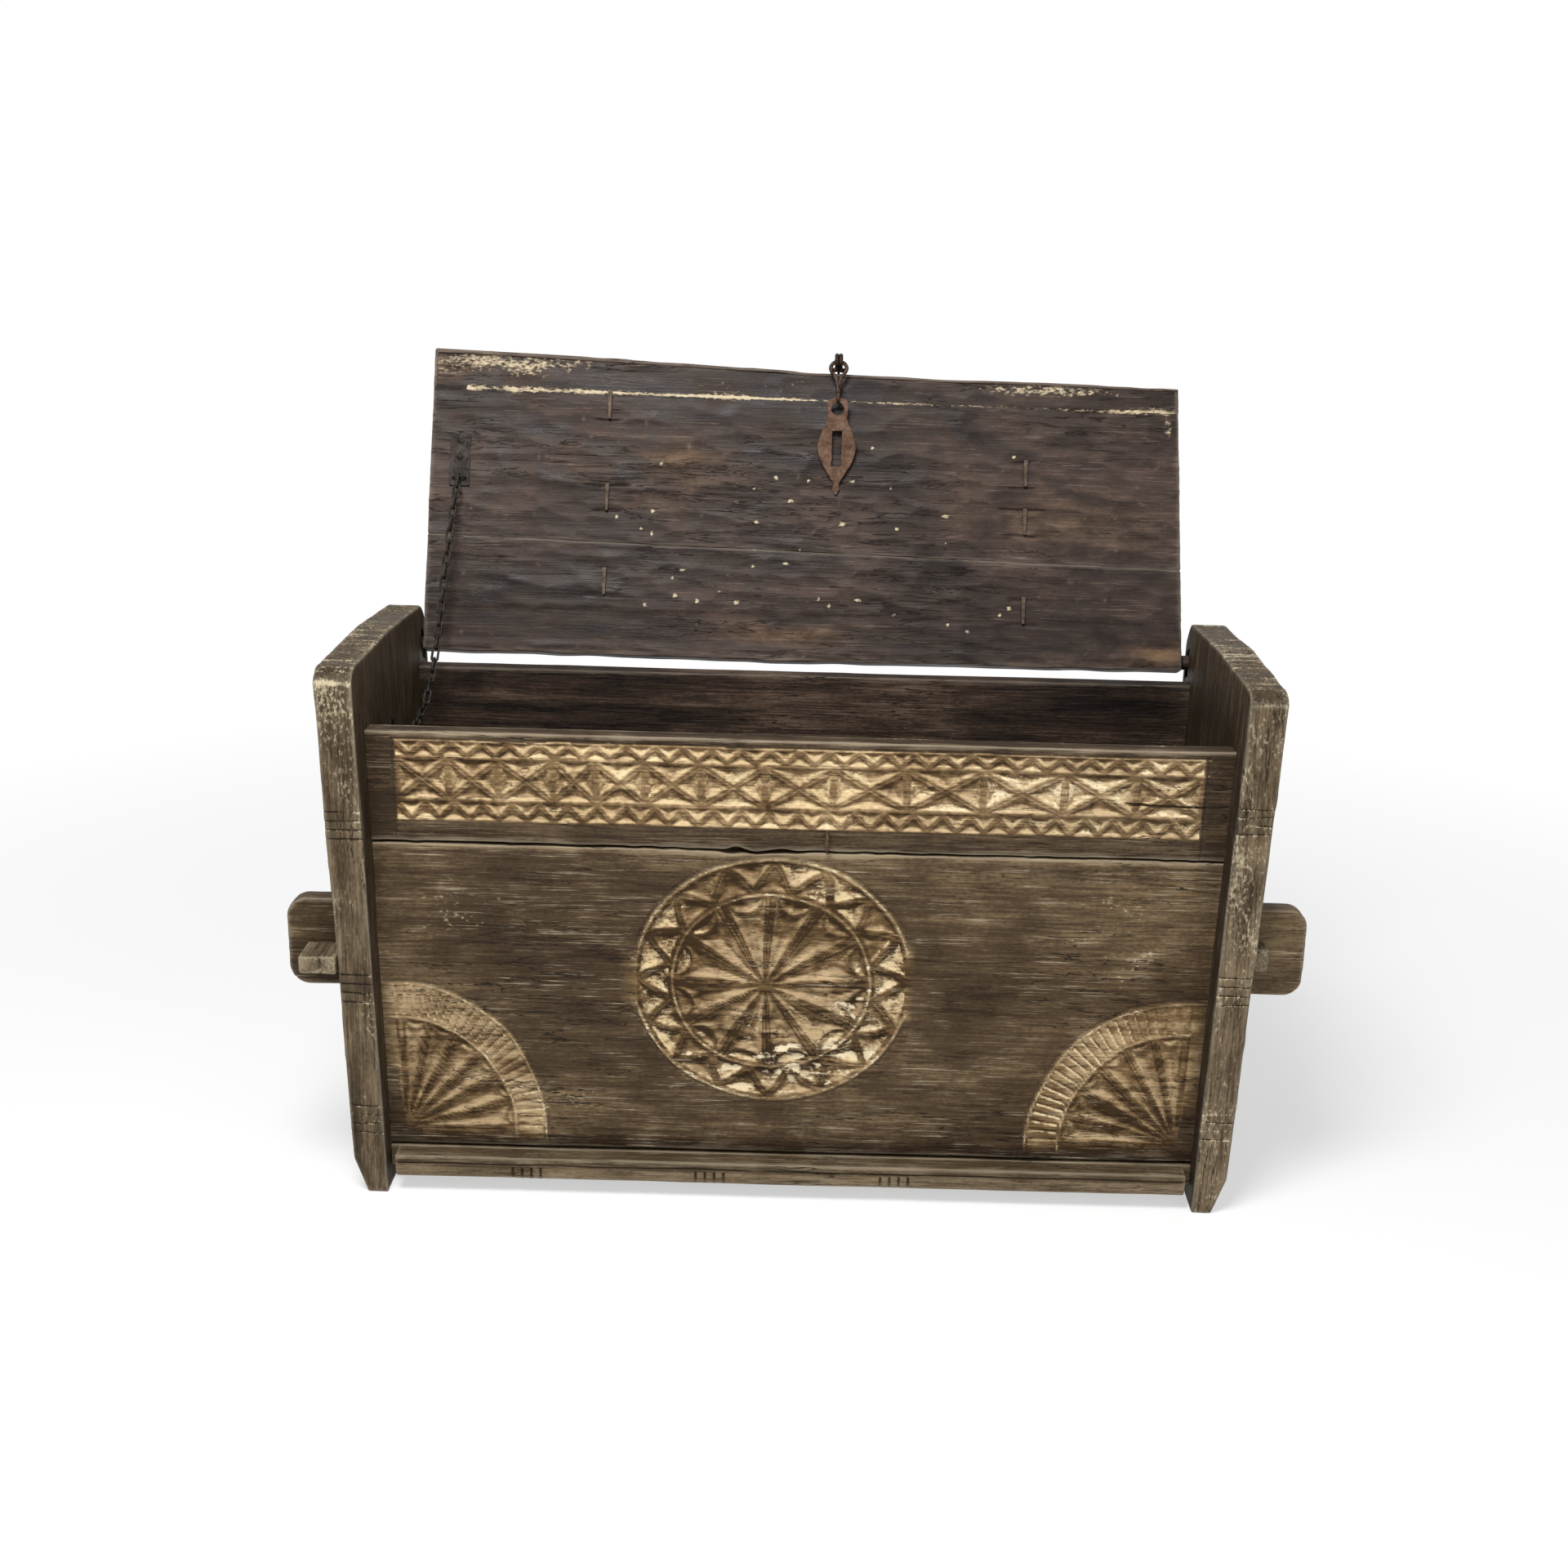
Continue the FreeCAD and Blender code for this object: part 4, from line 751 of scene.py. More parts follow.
def frieze_cut(places):
    x = places[:, 0] + 1.8 * unevenness(places, (46, 60, 46), 131)
    z = places[:, 2] + unevenness(places, (70, 60, 60), 132)
    room = np.full(len(places), -9.0)
    line = np.zeros(len(places))
    for low, high in tooth_bands:
        gap = zigzag_gap(x + carved_half, z, tooth_pitch, low + 2, high - 2)
        room = np.maximum(room, np.minimum(gap - 2.5, np.minimum(z - low, high - z)))
        line = np.maximum(line, scored(gap, 0.9, 0.6) * (z > low) * (z < high))
    tall = cross_high - cross_low
    start = -carved_half
    for share in cross_shares:
        width = share * carved_half * 2 / sum(cross_shares)
        end = start + width
        aside, above = (x - start) / width, (z - cross_low) / tall
        tilt = width * tall / math.hypot(width, tall)
        gap = np.minimum(np.abs(aside - above), np.abs(aside + above - 1)) * tilt
        border = np.minimum(np.minimum(x - start, end - x) - 3.2, np.minimum(z - cross_low, cross_high - z))
        room = np.maximum(room, np.minimum(gap - 3.1, border))
        gap = np.minimum(np.where(border > -1, gap, 9), np.abs(x - end))
        within = (z > cross_low) * (z < cross_high) * (x > start) * (x < end + 2)
        line = np.maximum(line, scored(gap, 1.0, 0.9) * within)
        start = end
    inside = (np.abs(x) < carved_half) & (z > rule_low + 2) & (z < rule_high - 1)
    rule = np.maximum(scored(z - rule_high, 2.0, 2.0), scored(z - rule_low, 1.8, 1.2))
    rule = rule * (np.abs(x) < carved_half + 6)
    rule += scored(np.abs(x) - carved_half - 4, 1.8, 1.4) * (z < rule_high)
    return (chipped(room, 0.95, 5.8) + line) * inside + rule, inside, rule, np.clip(room / 1.5, 0, 1) * inside


def frieze_relief(places, outward):
    x, y, z = places.T
    front = outward[:, 1] < -0.7
    top = outward[:, 2] > 0.6
    depth, inside, rule, hollow = frieze_cut(places)
    dust_and_light = dust_and_slope_light(places, frieze_cut) * inside
    wear = 0.88 + 0.2 * unevenness(places, (40, 60, 30), 135)
    rough = unevenness(places, (5, 60, 5), 140)
    split = scored(z - 503 + 2.5 * unevenness(places * (1, 0, 0), (30, 1, 1), 136), 1.4, 2.6)
    split *= soft_step(np.abs(x - 440), 70, 50) * front
    height = 0.5 * unevenness(places, (170, 60, 60), 133) + 0.3 * unevenness(places, (110, 20, 5), 134)
    height -= depth * wear * front + split + 0.35 * rough * hollow
    # Ochre on the left, whiter on the right, duller at the far left; slopes that face up get more paint and a
    # lighter tone, as dust with painted light, and slopes facing down get painted shade
    ochre = soft_step(x, 300, 20)
    dull = soft_step(x, -200, -430)
    bare = unevenness(places, (34, 60, 26), 137)
    paint_and_light = hollow * (0.38 + 0.28 * bare - 0.1 * dull + 0.26 * dust_and_light + 0.16 * rough) + 0.2 * rule
    paint_and_light += 0.35 * patch(places, (415, 510), (5, 25))
    frayed = top * soft_step(y, 19, 26) * soft_step(unevenness(places, (60, 60, 60), 139), -0.3, 0.4)
    tone = inside * (-0.05 - 0.2 * dull + 0.25 * bare + 0.75 * dust_and_light - 0.25 * rough) - 0.35 * (1 - inside)
    tone += 0.3 * hollow - 1.5 * split - 0.3 * soft_step(np.abs(x), carved_half - 2, carved_half + 4)
    tone -= 0.9 * scored(z - seam_height, 7, 1)
    warm = inside * (0.95 - 0.3 * (1 - ochre)) + 0.15
    return {"height": height, "paint_and_light": np.clip(paint_and_light, 0, 1) * front + 0.6 * frayed,
            "warm": np.clip(warm, 0, 1) * front, "gold": np.clip(0.25 + 0.5 * ochre - 0.4 * bare, 0, 1),
            "tone": tone * front - 0.5 * top}


# The lower edge follows the sagging seam, with two bites out of it, and the top is worn under the lid
def frieze_shape(places):
    z = places[:, 2]
    bite = 5.5 * patch(places, (-74, seam_height), (11, 30))
    bite += 2.5 * patch(places, (-20, seam_height), (16, 30))
    z = z - (seam_lip(places, 3.2) - bite) * (1 - soft_step(z, seam_height, 452))
    z = z - (0.8 + 0.8 * unevenness(places * (1, 0, 0), (130, 1, 1), 138)) * soft_step(z, 540, rim)
    return housed(np.stack([places[:, 0], places[:, 1], z], axis=1))


# The same oak, paler and more rubbed at hand height, with bright ochre and cream left in the cuts
frieze_oak = aged_wood("frieze_oak", 0, ("#30251a", "#4f4131", "#83745f"), "#b3a48c",
                       ("#3b2914", "#7b6344", "#c2a981"), pale="#e6d6b3", gold="#cdb27f", wear=0.45,
                       scratch=0.25)
mesh = timber("front_frieze", (-housed_half, 0, seam_height + 1.2), (housed_half, board_thickness, rim),
              (1.4, 9, 1.4), 2.6, frieze_relief, frieze_shape, 130, plain_back=True)
fitted("front_frieze_wood", [mesh], frieze_oak, "chest", "front_frieze_board")

# Pegs: four oak pins driven through the tenons against the outside of the end boards.
# The left front one is a broad square wedge, split at its head; the others are whittled roundish.


def peg(node, rounding, seed, split_aside=None):
    low, high = block(node)
    middle = (low + high) / 2
    front_peg = low[1] < 100

    def worked(places, outward):
        head = outward[:, 1] < -0.6
        height = 0.5 * unevenness(places, (9, 60, 9), seed) + 0.25 * unevenness(places, (4, 30, 4), seed + 1)
        height += 0.8 * unevenness(places, (14, 14, 14), seed + 2) * (np.abs(outward[:, 1]) > 0.5)
        if split_aside is not None:
            wander = unevenness(places, (90, 90, 7), seed + 3)
            height -= scored(places[:, 0] - middle[0] - split_aside + wander, 1.6, 9) * head
        tone = 0.3 * head + 0.3 * unevenness(places, (12, 50, 12), seed + 4)
        return {"height": height, "tone": tone, "paint_and_light": 0.15 * head}

    def whittled(places):
        tail = 0.3 * soft_step(places[:, 1], high[1] - 18, high[1]) * front_peg
        places = places.copy()
        places[:, 2] = middle[2] + (places[:, 2] - middle[2]) * (1 - tail)
        return places

    return timber(node, low, high, (1.6, 5, 1.6), rounding, worked, whittled, seed)


# End grain of oak, handled and dry: grey-brown and lighter than the boards
peg_oak = aged_wood("peg_oak", 1, ("#42362a", "#625542", "#95866d"), "#a39780", fleck=0.08)
for node, rounding, seed, split_aside in (("front_left_peg", 2.6, 141, 3),
                                          ("front_right_peg", 6.2, 151, None),
                                          ("rear_left_peg", 6.2, 161, None),
                                          ("rear_right_peg", 6.2, 171, None)):
    fitted(node + "_wood", [peg(node, rounding, seed, split_aside)], peg_oak, "chest", node)

# Lid: two thick planks edge to edge, adzed inside, with a shallow rebate along the free edge.
# The rear plank ends in wooden pintles that turn in the end boards. Dark, smoky wood with old paint marks.
# A run is a distance from the pivots towards the free edge, given at the lid's left and right ends.
lid_turn = -math.radians(joint_called("lid_hinge")["range_deg"][1])
lid_thickness = 30.0
lid_left = 498.0
lid_right = 490.0
lid_width = lid_left + lid_right
pivot_rise = 20.0
front_depth = 248.0
rear_depth = 152.0
seam_runs = (142.6, 118.6)
seam_overlap = 0.2
rebate_runs = (339, 327)
edge_runs = (390, 360)
rebate_share = 0.835
adze_cup = (50, 23)
nail_places = ((-265.0, (334, 212, 101)), (282.5, (257, 193, 76)))
nail_tail = 34
pintle_radius = 9.4


def sloping(runs, x):
    left, right = runs
    return left + (right - left) * (x + lid_left) / lid_width


def opened(x, run, rise):
    y, z = -run, rise - pivot_rise
    return np.stack([x, pivot_run + y * math.cos(lid_turn) - z * math.sin(lid_turn),
                     pivot_height + y * math.sin(lid_turn) + z * math.cos(lid_turn)], axis=1)


def laid_open(places):
    return opened(places[:, 0], -places[:, 1], places[:, 2])


def front_plank_runs(depth, x):
    seam, rebate = sloping(seam_runs, x), sloping(rebate_runs, x)
    edge = sloping(edge_runs, x) - 4.5 * np.exp(-((x - 60) / 220) ** 2)
    share = depth / front_depth
    fore = np.clip((share - rebate_share) / (1 - rebate_share), 0, 1)
    return seam + np.clip(share / rebate_share, 0, 1) * (rebate - seam) + fore * (edge - rebate)


def rear_plank_runs(depth, x):
    back = -10 - 3 * soft_step(x, -330, -60)
    return back + depth / rear_depth * (sloping(seam_runs, x) + seam_overlap - back)


def lid_place(places, runs):
    x, back, rise = places.T
    run = runs(-back, x)
    right_end = lid_right - 9 * run / 360
    across = -lid_left + (x + lid_left) / lid_width * (right_end + lid_left)
    return opened(across, run, rise)


def lid_relief(runs, seed):
    def worked(places, outward):
        x, back, _ = places.T
        run = runs(-back, x)
        flat = np.stack([x, run, np.zeros_like(x)], axis=1)
        under = outward[:, 2] < -0.7
        lower = np.clip(-1.4 * outward[:, 2], 0, 1)
        ends = np.abs(outward[:, 1]) > 0.5

        def stain(middle, reach):
            return patch(flat, middle, reach, (0, 1))

        # Adze cups in slanting rows, with a sharp rim on the upper side of some
        skew = flat[:, :2] + np.stack([6 * unevenness(flat, (70, 70, 1), seed), 0.1 * x], axis=1)
        up = np.array([0, 1.5])
        cups, rims = adzed(skew, adze_cup, seed)
        rising = adzed(skew + up, adze_cup, seed)[0] - adzed(skew - up, adze_cup, seed)[0]
        rims = rims * soft_step(unevenness(flat, (70, 26, 1), seed + 11), -0.3, 0.4)
        rims = rims * soft_step(rising, 0.02, 0.1) * under
        height = 2.2 * (cups - 0.3) * (np.abs(outward[:, 2]) > 0.7)
        height += 0.6 * unevenness(flat, (190, 60, 1), seed + 1)
        height += 0.3 * unevenness(flat, (90, 6, 1), seed + 2)
        from_seam = np.abs(run - sloping(seam_runs, x))
        height += 1.2 * unevenness(flat, (40, 40, 1), seed + 3) * ends * (from_seam > 6)
        # Flat strips that bear on the back board and the frieze, and the rebate
        on_frieze = soft_step(run, 318, 330)
        bearing = (soft_step(np.abs(run - 25), 26, 18) + on_frieze) * lower
        height -= bearing * (np.clip(height, 0, None) + 0.7 + on_frieze)
        rebate = sloping(rebate_runs, x)
        cut = soft_step(run, rebate - 0.8, rebate + 0.8) * lower
        height -= 2.8 * cut
        # Cream paint along the rebate, in drips, in spatters and at the free edge
        left = soft_step(x, -100, -200)
        broad = 2.4 + 1.6 * soft_step(np.abs(x - 20), 200, 330) + 0.8 * left
        step = np.exp(-((run - rebate) / broad) ** 2) * under
        worn = soft_step(unevenness(flat, (70, 30, 1), seed + 4), -0.7, 0.1)
        paint_and_light = step * (0.36 + 0.34 * worn + 0.24 * left) * (x > -455)
        paint_and_light += (0.34 * stain((-70, 336), (90, 16)) + 0.64 * stain((-390, 374), (150, 19))) * under
        for number in range(46):
            spot = scrambled(np.array([[number, 1], [number, 2], [number, 3]]), seed + 8)
            middle = (290 * spot[0], 150 + 120 * spot[1])
            paint_and_light += 1.1 * stain(middle, (3.9 + 1.8 * spot[2], 2.8)) * under
        paint_and_light += 0.55 * stain((476, 300), (10, 26)) + 0.3 * stain((330, 352), (200, 8)) * under
        paint_and_light += 0.3 * cut * soft_step(unevenness(flat, (160, 40, 1), seed + 5), 0.1, 0.6)
        # Brown stretches, lighter rims and ends, a dark seam, and painted light and shade on the adze cups:
        # each cup's slope facing down darker, the one facing up lighter
        warm = 0.7 * stain((-170, 240), (120, 34)) + stain((-40, 22), (80, 12)) + stain((462, 8), (40, 13))
        warm += 0.7 * stain((-400, 372), (120, 18)) + 0.4 * stain((330, 180), (120, 40))
        tone = 0.3 * unevenness(flat, (230, 80, 1), seed + 6) + 0.5 * ends + 0.4 * soft_step(run, 25, -6)
        # Painted shade and light on the cup slopes, from which way each slope faces
        tone -= (0.1 + 0.25 * np.clip(rising / 0.12, -1, 1)) * under - 0.5 * rims
        tone += 1.1 * stain((462, 8), (40, 13)) - 1.3 * np.exp(-(from_seam / 3.5) ** 2) * under
        # Short splits in the grain at both ends of each clinched nail
        for place, nail_runs in nail_places:
            for number, end in enumerate(end for nail in nail_runs for end in (nail, nail - nail_tail)):
                gap = run - end - 1.5 * unevenness(flat * (1, 0, 0), (30, 1, 1), seed + 7 + number)
                reach = 24 + 14 * scrambled(np.array([[number, 5]]), 3)[0]
                split = np.clip(1 - np.abs(gap) / 1.6, 0, 1) * under
                split = split * soft_step(np.abs(x - place), reach, reach - 12)
                height -= 1.8 * split
                tone -= 1.6 * split
        return {"height": height, "paint_and_light": np.clip(paint_and_light, 0, 1), "warm": np.clip(warm, 0, 1), "tone": tone,
                "rubbed": 0.55 * rims}
    return worked


def pintle(start, end):
    tube = bmesh.new()
    upright = Matrix.Rotation(math.pi / 2, 4, "Y")
    bmesh.ops.create_cone(tube, cap_ends=True, segments=28, radius1=pintle_radius, radius2=pintle_radius,
                          depth=abs(end - start),
                          matrix=Matrix.Translation(((start + end) / 2, pivot_run, pivot_height)) @ upright)
    rims = [edge for edge in tube.edges if len(edge.link_faces) == 2 and edge.calc_face_angle() > 1]
    bmesh.ops.bevel(tube, geom=rims, offset=1.4, segments=3, affect="EDGES", profile=0.5, material=-1)
    bmesh.ops.translate(tube, verts=tube.verts, vec=Vector(home))
    bmesh.ops.scale(tube, verts=tube.verts, vec=[1 / mm_per_m] * 3)
    mesh = bpy.data.meshes.new("pintle")
    tube.to_mesh(mesh)
    tube.free()
    mesh.polygons.foreach_set("use_smooth", np.ones(len(mesh.polygons), bool))
    return mesh


# Oak blackened by smoke: dark and slightly greasy, so that the adze cups catch the light
smoked_oak = aged_wood("smoked_oak", 0, ("#1e1613", "#30251f", "#493b33"), "#85786c",
                       ("#231810", "#4b3829", "#775f47"), pale="#c9b898", wear=0.45, streak=0.1, gloss=0.47)
nail_rows = []
for place, nail_runs in nail_places:
    seam, rebate = sloping(seam_runs, place), sloping(rebate_runs, place)
    for run in nail_runs[:2]:
        for end in (run, run - nail_tail):
            nail_rows.append(-front_depth * rebate_share * (end - seam) / (rebate - seam))
rebate_rows = -front_depth * (rebate_share + np.array([-0.012, -0.004, 0.004, 0.012]))
mesh = timber("lid_front", (-lid_left, -front_depth, 0), (lid_right, 0, lid_thickness), (3.6, 3.6, 6), 3.0,
              lid_relief(front_plank_runs, 201), lambda places: lid_place(places, front_plank_runs), 201,
              ((), np.concatenate([rebate_rows, around(nail_rows, 1.6)]), ()))
fitted("lid_front_wood", [mesh], smoked_oak, "lid", "lid_front_plank")
mesh = timber("lid_rear", (-lid_left, -rear_depth, 0), (lid_right, 0, lid_thickness), (3.6, 3.0, 6), 3.0,
              lid_relief(rear_plank_runs, 221), lambda places: lid_place(places, rear_plank_runs), 221)
pintle_end = inner_face(pivot_height) + 27
fitted("lid_rear_wood", [mesh, pintle(-470, -pintle_end), pintle(462, pintle_end)], smoked_oak, "lid",
       "lid_rear_plank")
frame["nodes"]["lid_dowels"].data.materials.clear()
frame["nodes"]["lid_dowels"].data.materials.append(peg_oak)

# Battens: two bars on the outside of the lid that tie its planks together.
# Sawn oak with their ends sloped off, nailed through from outside.
batten_half = 23.0
batten_thickness = 18.0
batten_runs = (22.0, 356.0)
batten_slope = 12.0


def sloped(places):
    x, back, rise = places.T
    slope = batten_slope * np.clip((rise - lid_thickness) / batten_thickness, 0, 1)
    middle = sum(batten_runs) / 2
    half = middle - batten_runs[0]
    return opened(x, middle + (-back - middle) * (half - slope) / half, rise)


# Sawn oak from the outside of the lid: dark grey-brown, worn pale at the arrises
batten_oak = aged_wood("batten_oak", 2, ("#211917", "#3c302b", "#5c4d44"), "#8d8379", wear=0.6)
lid_top = lid_thickness + batten_thickness
for name, (place, _), seed in zip(("lid_batten_left", "lid_batten_right"), nail_places, (241, 251)):
    low = (place - batten_half, -batten_runs[1], lid_thickness + 0.4)
    high = (place + batten_half, -batten_runs[0], lid_top)
    mesh = timber(name, low, high, (4, 6, 4), 2.6, plain_relief(seed, 0.7), sloped, seed)
    fitted(name + "_wood", [mesh], batten_oak, "lid", name)

# Clinched nails: six hand-forged nails through battens and planks, with rose heads outside.
# Their points are hammered over across the grain inside, so a flat tapering tail shows.
nail_head_half = 5.5


# Forged iron: hammered, rusted brown with a darker scale, rubbed paler on its high spots.
# Its three patterns are dents, pits and grit, with their sizes in millimetres.
def old_iron(name, scale, rust, bright, rough):
    material, tree = bare_material(name)
    place = add(tree, "TexCoord").outputs["Object"]
    dents, pits, grit = (add(tree, "TexNoise", {"Vector": place, "Scale": mm_per_m / size, "Detail": 5,
                                                "Roughness": 0.65}).outputs[0] for size in (14, 3.5, 1.4))
    blend = add(tree, "Math", {0: dents, 1: 0.6}, operation="MULTIPLY").outputs[0]
    blend = add(tree, "Math", {0: pits, 1: 0.5, 2: blend}, operation="MULTIPLY_ADD").outputs[0]
    tint = add(tree, "ValToRGB", {"Fac": blend}, stops=((0.38, scale), (0.76, bright), (0.56, rust)))
    height = add(tree, "Math", {0: grit, 1: 0.5, 2: pits}, operation="MULTIPLY_ADD").outputs[0]
    bump = add(tree, "Bump", {"Height": height, "Strength": 0.6, "Distance": 0.0007})
    gloss = add(tree, "MapRange", {0: pits, 1: 0.3, 2: 0.7, 3: rough - 0.12, 4: rough + 0.2})
    metal = add(tree, "MapRange", {0: blend, 1: 0.48, 2: 0.62, 3: 0.75, 4: 0.25})
    surface = add(tree, "BsdfPrincipled", {"Base Color": tint.outputs[0], "Metallic": metal.outputs[0],
                                           "Roughness": gloss.outputs[0], "Normal": bump.outputs[0],
                                           "Specular IOR Level": 0.2})
    add(tree, "OutputMaterial", {"Surface": surface.outputs[0]})
    return material


def hammered(seed):
    def worked(places, outward):
        return {"height": 0.35 * unevenness(places, (5, 5, 5), seed) - 0.2}
    return worked


# Nail iron: greyer and rubbed brighter by the hammer
nail_iron = old_iron("nail_iron", "#2b241e", "#483b31", "#6d5f51", 0.5)
nails = []
for place, nail_runs in nail_places:
    for run in nail_runs:
        def clinched(places, place=place, run=run):
            x, back, rise = places.T
            width = 1 - 0.35 * np.clip((run + back) / nail_tail, 0, 1)
            return opened(place + (x - place) * width, -back, rise)

        low = (place - 3.1, -run - 2, -3.8)
        high = (place + 2.9, -run + nail_tail, 0.6)
        tail = timber("nail_tail", low, high, (1.2, 2.5, 1), 0.7, hammered(260 + run), clinched, run)
        low = (place - nail_head_half, -run - nail_head_half, lid_top - 0.5)
        high = (place + nail_head_half, -run + nail_head_half, lid_top + 2.5)
        head = timber("nail_head", low, high, (1.6, 1.6, 1), 1.1, hammered(270 + run), laid_open, run + 1)
        nails += [tail, head]
fitted("lid_nails_iron", nails, nail_iron, "lid", "lid_clinched_nails")

# Hasp: a folded strap eye in the lid's edge, a looped link bent from one bar, and a cut leaf with a slot.
# All hammered from wrought iron; the leaf lies against the inside of the open lid.
hasp_x = joint_spot("hasp_link_swing")[0].round(1)
eye_offset = 10.0
eye_radius = 7.4
eye_wire = 2.7
eye_half_gap = 2.6
curl_wire = 3.0
shank_wire = 1.8
shank_slope = math.radians(50)
link_wire = 2.5
link_bow = 10.7
link_neck = 2.2
loop_radius = 6.0
loop_wire = 2.4
leaf_thickness = 3.0
leaf_length = 126.0
leaf_gap = 2.2
leaf_start = -2.0
leaf_columns = 8
leaf_outline = ((leaf_start, 1.5), (2, 10.4), (13, 13.6), (27, 13), (46, 20.6), (64, 24.9), (82, 20.8),
                (100, 10.6), (112, 4), (119, 4.5), (leaf_length, 1))
eye_hole = 14.0
eye_hole_radius = 8.4
slot_ends = (43.0, 89.0)
slot_half_width = 6.2


def lid_spot(x, run, rise):
    return opened(np.array([x]), np.array([run]), np.array([rise]))[0]


def iron_ring(middle, radius, wire, axis, turns=30, corners=12):
    axis = Vector(axis).normalized()
    side = axis.orthogonal().normalized()
    ring = bmesh.new()
    made = bmesh.ops.create_circle(ring, segments=corners, radius=wire)["verts"]
    facing = Matrix((side, axis, side.cross(axis))).transposed().to_4x4()
    bmesh.ops.transform(ring, matrix=Matrix.Translation(side * radius) @ facing, verts=made)
    bmesh.ops.spin(ring, geom=ring.verts[:] + ring.edges[:], cent=(0, 0, 0), axis=axis, angle=math.tau,
                   steps=turns, use_merge=True)
    bmesh.ops.remove_doubles(ring, verts=ring.verts, dist=0.001)
    bmesh.ops.recalc_face_normals(ring, faces=ring.faces)
    bmesh.ops.translate(ring, verts=ring.verts, vec=Vector(middle))
    return ring


def drawn_bar(points, radius, corners=10):
    bar = bmesh.new()
    points = [Vector(point) for point in points]
    ways = [(after - before).normalized() for before, after in zip(points[:-1], points[1:])]
    ways = [ways[0]] + [(a + b).normalized() for a, b in zip(ways[:-1], ways[1:])] + [ways[-1]]
    loop = bmesh.ops.create_circle(bar, cap_ends=True, segments=corners, radius=radius)["verts"]
    turn = Vector((0, 0, 1)).rotation_difference(ways[0])
    bmesh.ops.transform(bar, matrix=Matrix.Translation(points[0]) @ turn.to_matrix().to_4x4(), verts=loop)
    edges = bar.edges[:]
    for here, there, before, after in zip(points[:-1], points[1:], ways[:-1], ways[1:]):
        grown = bmesh.ops.extrude_edge_only(bar, edges=edges)["geom"]
        fresh = [item for item in grown if isinstance(item, bmesh.types.BMVert)]
        edges = [item for item in grown if isinstance(item, bmesh.types.BMEdge)
                 and all(vert in fresh for vert in item.verts)]
        turn = before.rotation_difference(after).to_matrix().to_4x4()
        step = Matrix.Translation(there) @ turn @ Matrix.Translation(-here)
        bmesh.ops.transform(bar, matrix=step, verts=fresh)
    bmesh.ops.contextual_create(bar, geom=edges)
    bmesh.ops.recalc_face_normals(bar, faces=bar.faces)
    return bar


def forged(name, solid, seed, deep):
    mesh = bpy.data.meshes.new(name)
    bmesh.ops.recalc_face_normals(solid, faces=solid.faces)
    solid.normal_update()
    places = np.array([vert.co for vert in solid.verts])
    outward = np.array([vert.normal for vert in solid.verts])
    places += outward * (deep * unevenness(places, (4, 4, 4), seed))[:, None]
    for vert, place in zip(solid.verts, (places + home) / mm_per_m):
        vert.co = place
    solid.to_mesh(mesh)
    solid.free()
    mesh.polygons.foreach_set("use_smooth", np.ones(len(mesh.polygons), bool))
    return mesh


across = np.array([1, 0, 0])
# Link iron: almost black, because hands never rub it
link_iron = old_iron("link_iron", "#1d1611", "#3a2b21", "#5a493c", 0.5)
eye_middle = lid_spot(hasp_x, sloping(edge_runs, hasp_x) + eye_offset, -5)
eye_meshes = []
for step in (-eye_half_gap, eye_half_gap):
    ring = iron_ring(eye_middle + across * step, eye_radius, eye_wire, across)
    eye_meshes.append(forged("eye_ring", ring, 301, 0.25))
curls = [lid_spot(hasp_x + step, sloping(edge_runs, hasp_x + step) + lift, 7.5 + lift * 0.3)
         for step, lift in ((-11, 2.2), (-8, 1.6), (-4, 1.5), (0, 2.2), (4, 1.5), (8, 1.6), (11, 2.2))]
eye_meshes.append(forged("eye_curls", drawn_bar(curls, curl_wire), 302, 0.3))
inward = lid_spot(0, -math.cos(shank_slope), math.sin(shank_slope)) - lid_spot(0, 0, 0)
shank = [eye_middle + inward * reach for reach in (6.5, 10, 16, 24, 32)]
eye_meshes.append(forged("eye_shank", drawn_bar(shank, shank_wire), 303, 0.1))
fitted("hasp_eye_iron", eye_meshes, link_iron, "lid", "hasp_eye")

link_top = joint_spot("hasp_link_swing")
leaf_top = joint_spot("hasp_leaf_swing")
link_way = (leaf_top - link_top) / np.linalg.norm(leaf_top - link_top)
link_flat = np.cross(across, link_way)
loop_middle = leaf_top + link_way * (4.5 - loop_radius)
neck_start = 10.0
neck = np.linspace(neck_start, np.dot(loop_middle - link_top, link_way) - 4.5, 16)
strands = []
for half_turn in (0, math.pi):
    strand = []
    for number, reach in enumerate(neck):
        spread = link_neck + 8.5 * (1 - soft_step(reach, 9, 27))
        turn = half_turn + 0.24 * max(0, number - 6)
        aside = math.cos(turn) * across + math.sin(turn) * link_flat
        strand.append(link_top + link_way * reach + spread * aside)
    strands.append(strand)
bow = [link_top + link_way * (neck_start - link_bow * math.sin(turn)) + link_bow * math.cos(turn) * across
       for turn in np.linspace(0, math.pi, 17)[1:-1]]
bent_bar = drawn_bar(strands[0][::-1] + bow + strands[1], link_wire)
lower_loop = iron_ring(loop_middle, loop_radius, loop_wire, across)
link_meshes = [forged("link_bow", bent_bar, 311, 0.15), forged("link_lower", lower_loop, 312, 0.15)]
fitted("hasp_link_iron", link_meshes, link_iron, "hasp_link", "hasp_link")


# A smooth curve through the points of an outline
def flowing(row, points):
    rows, halves = np.array(points, float).T
    slopes = np.gradient(halves, rows)
    place = min(max(np.searchsorted(rows, row) - 1, 0), len(rows) - 2)
    run = rows[place + 1] - rows[place]
    share = (row - rows[place]) / run
    bend = share * share * (3 - 2 * share)
    tangents = share * (1 - share) ** 2 * slopes[place] - share ** 2 * (1 - share) * slopes[place + 1]
    return (1 - bend) * halves[place] + bend * halves[place + 1] + run * tangents


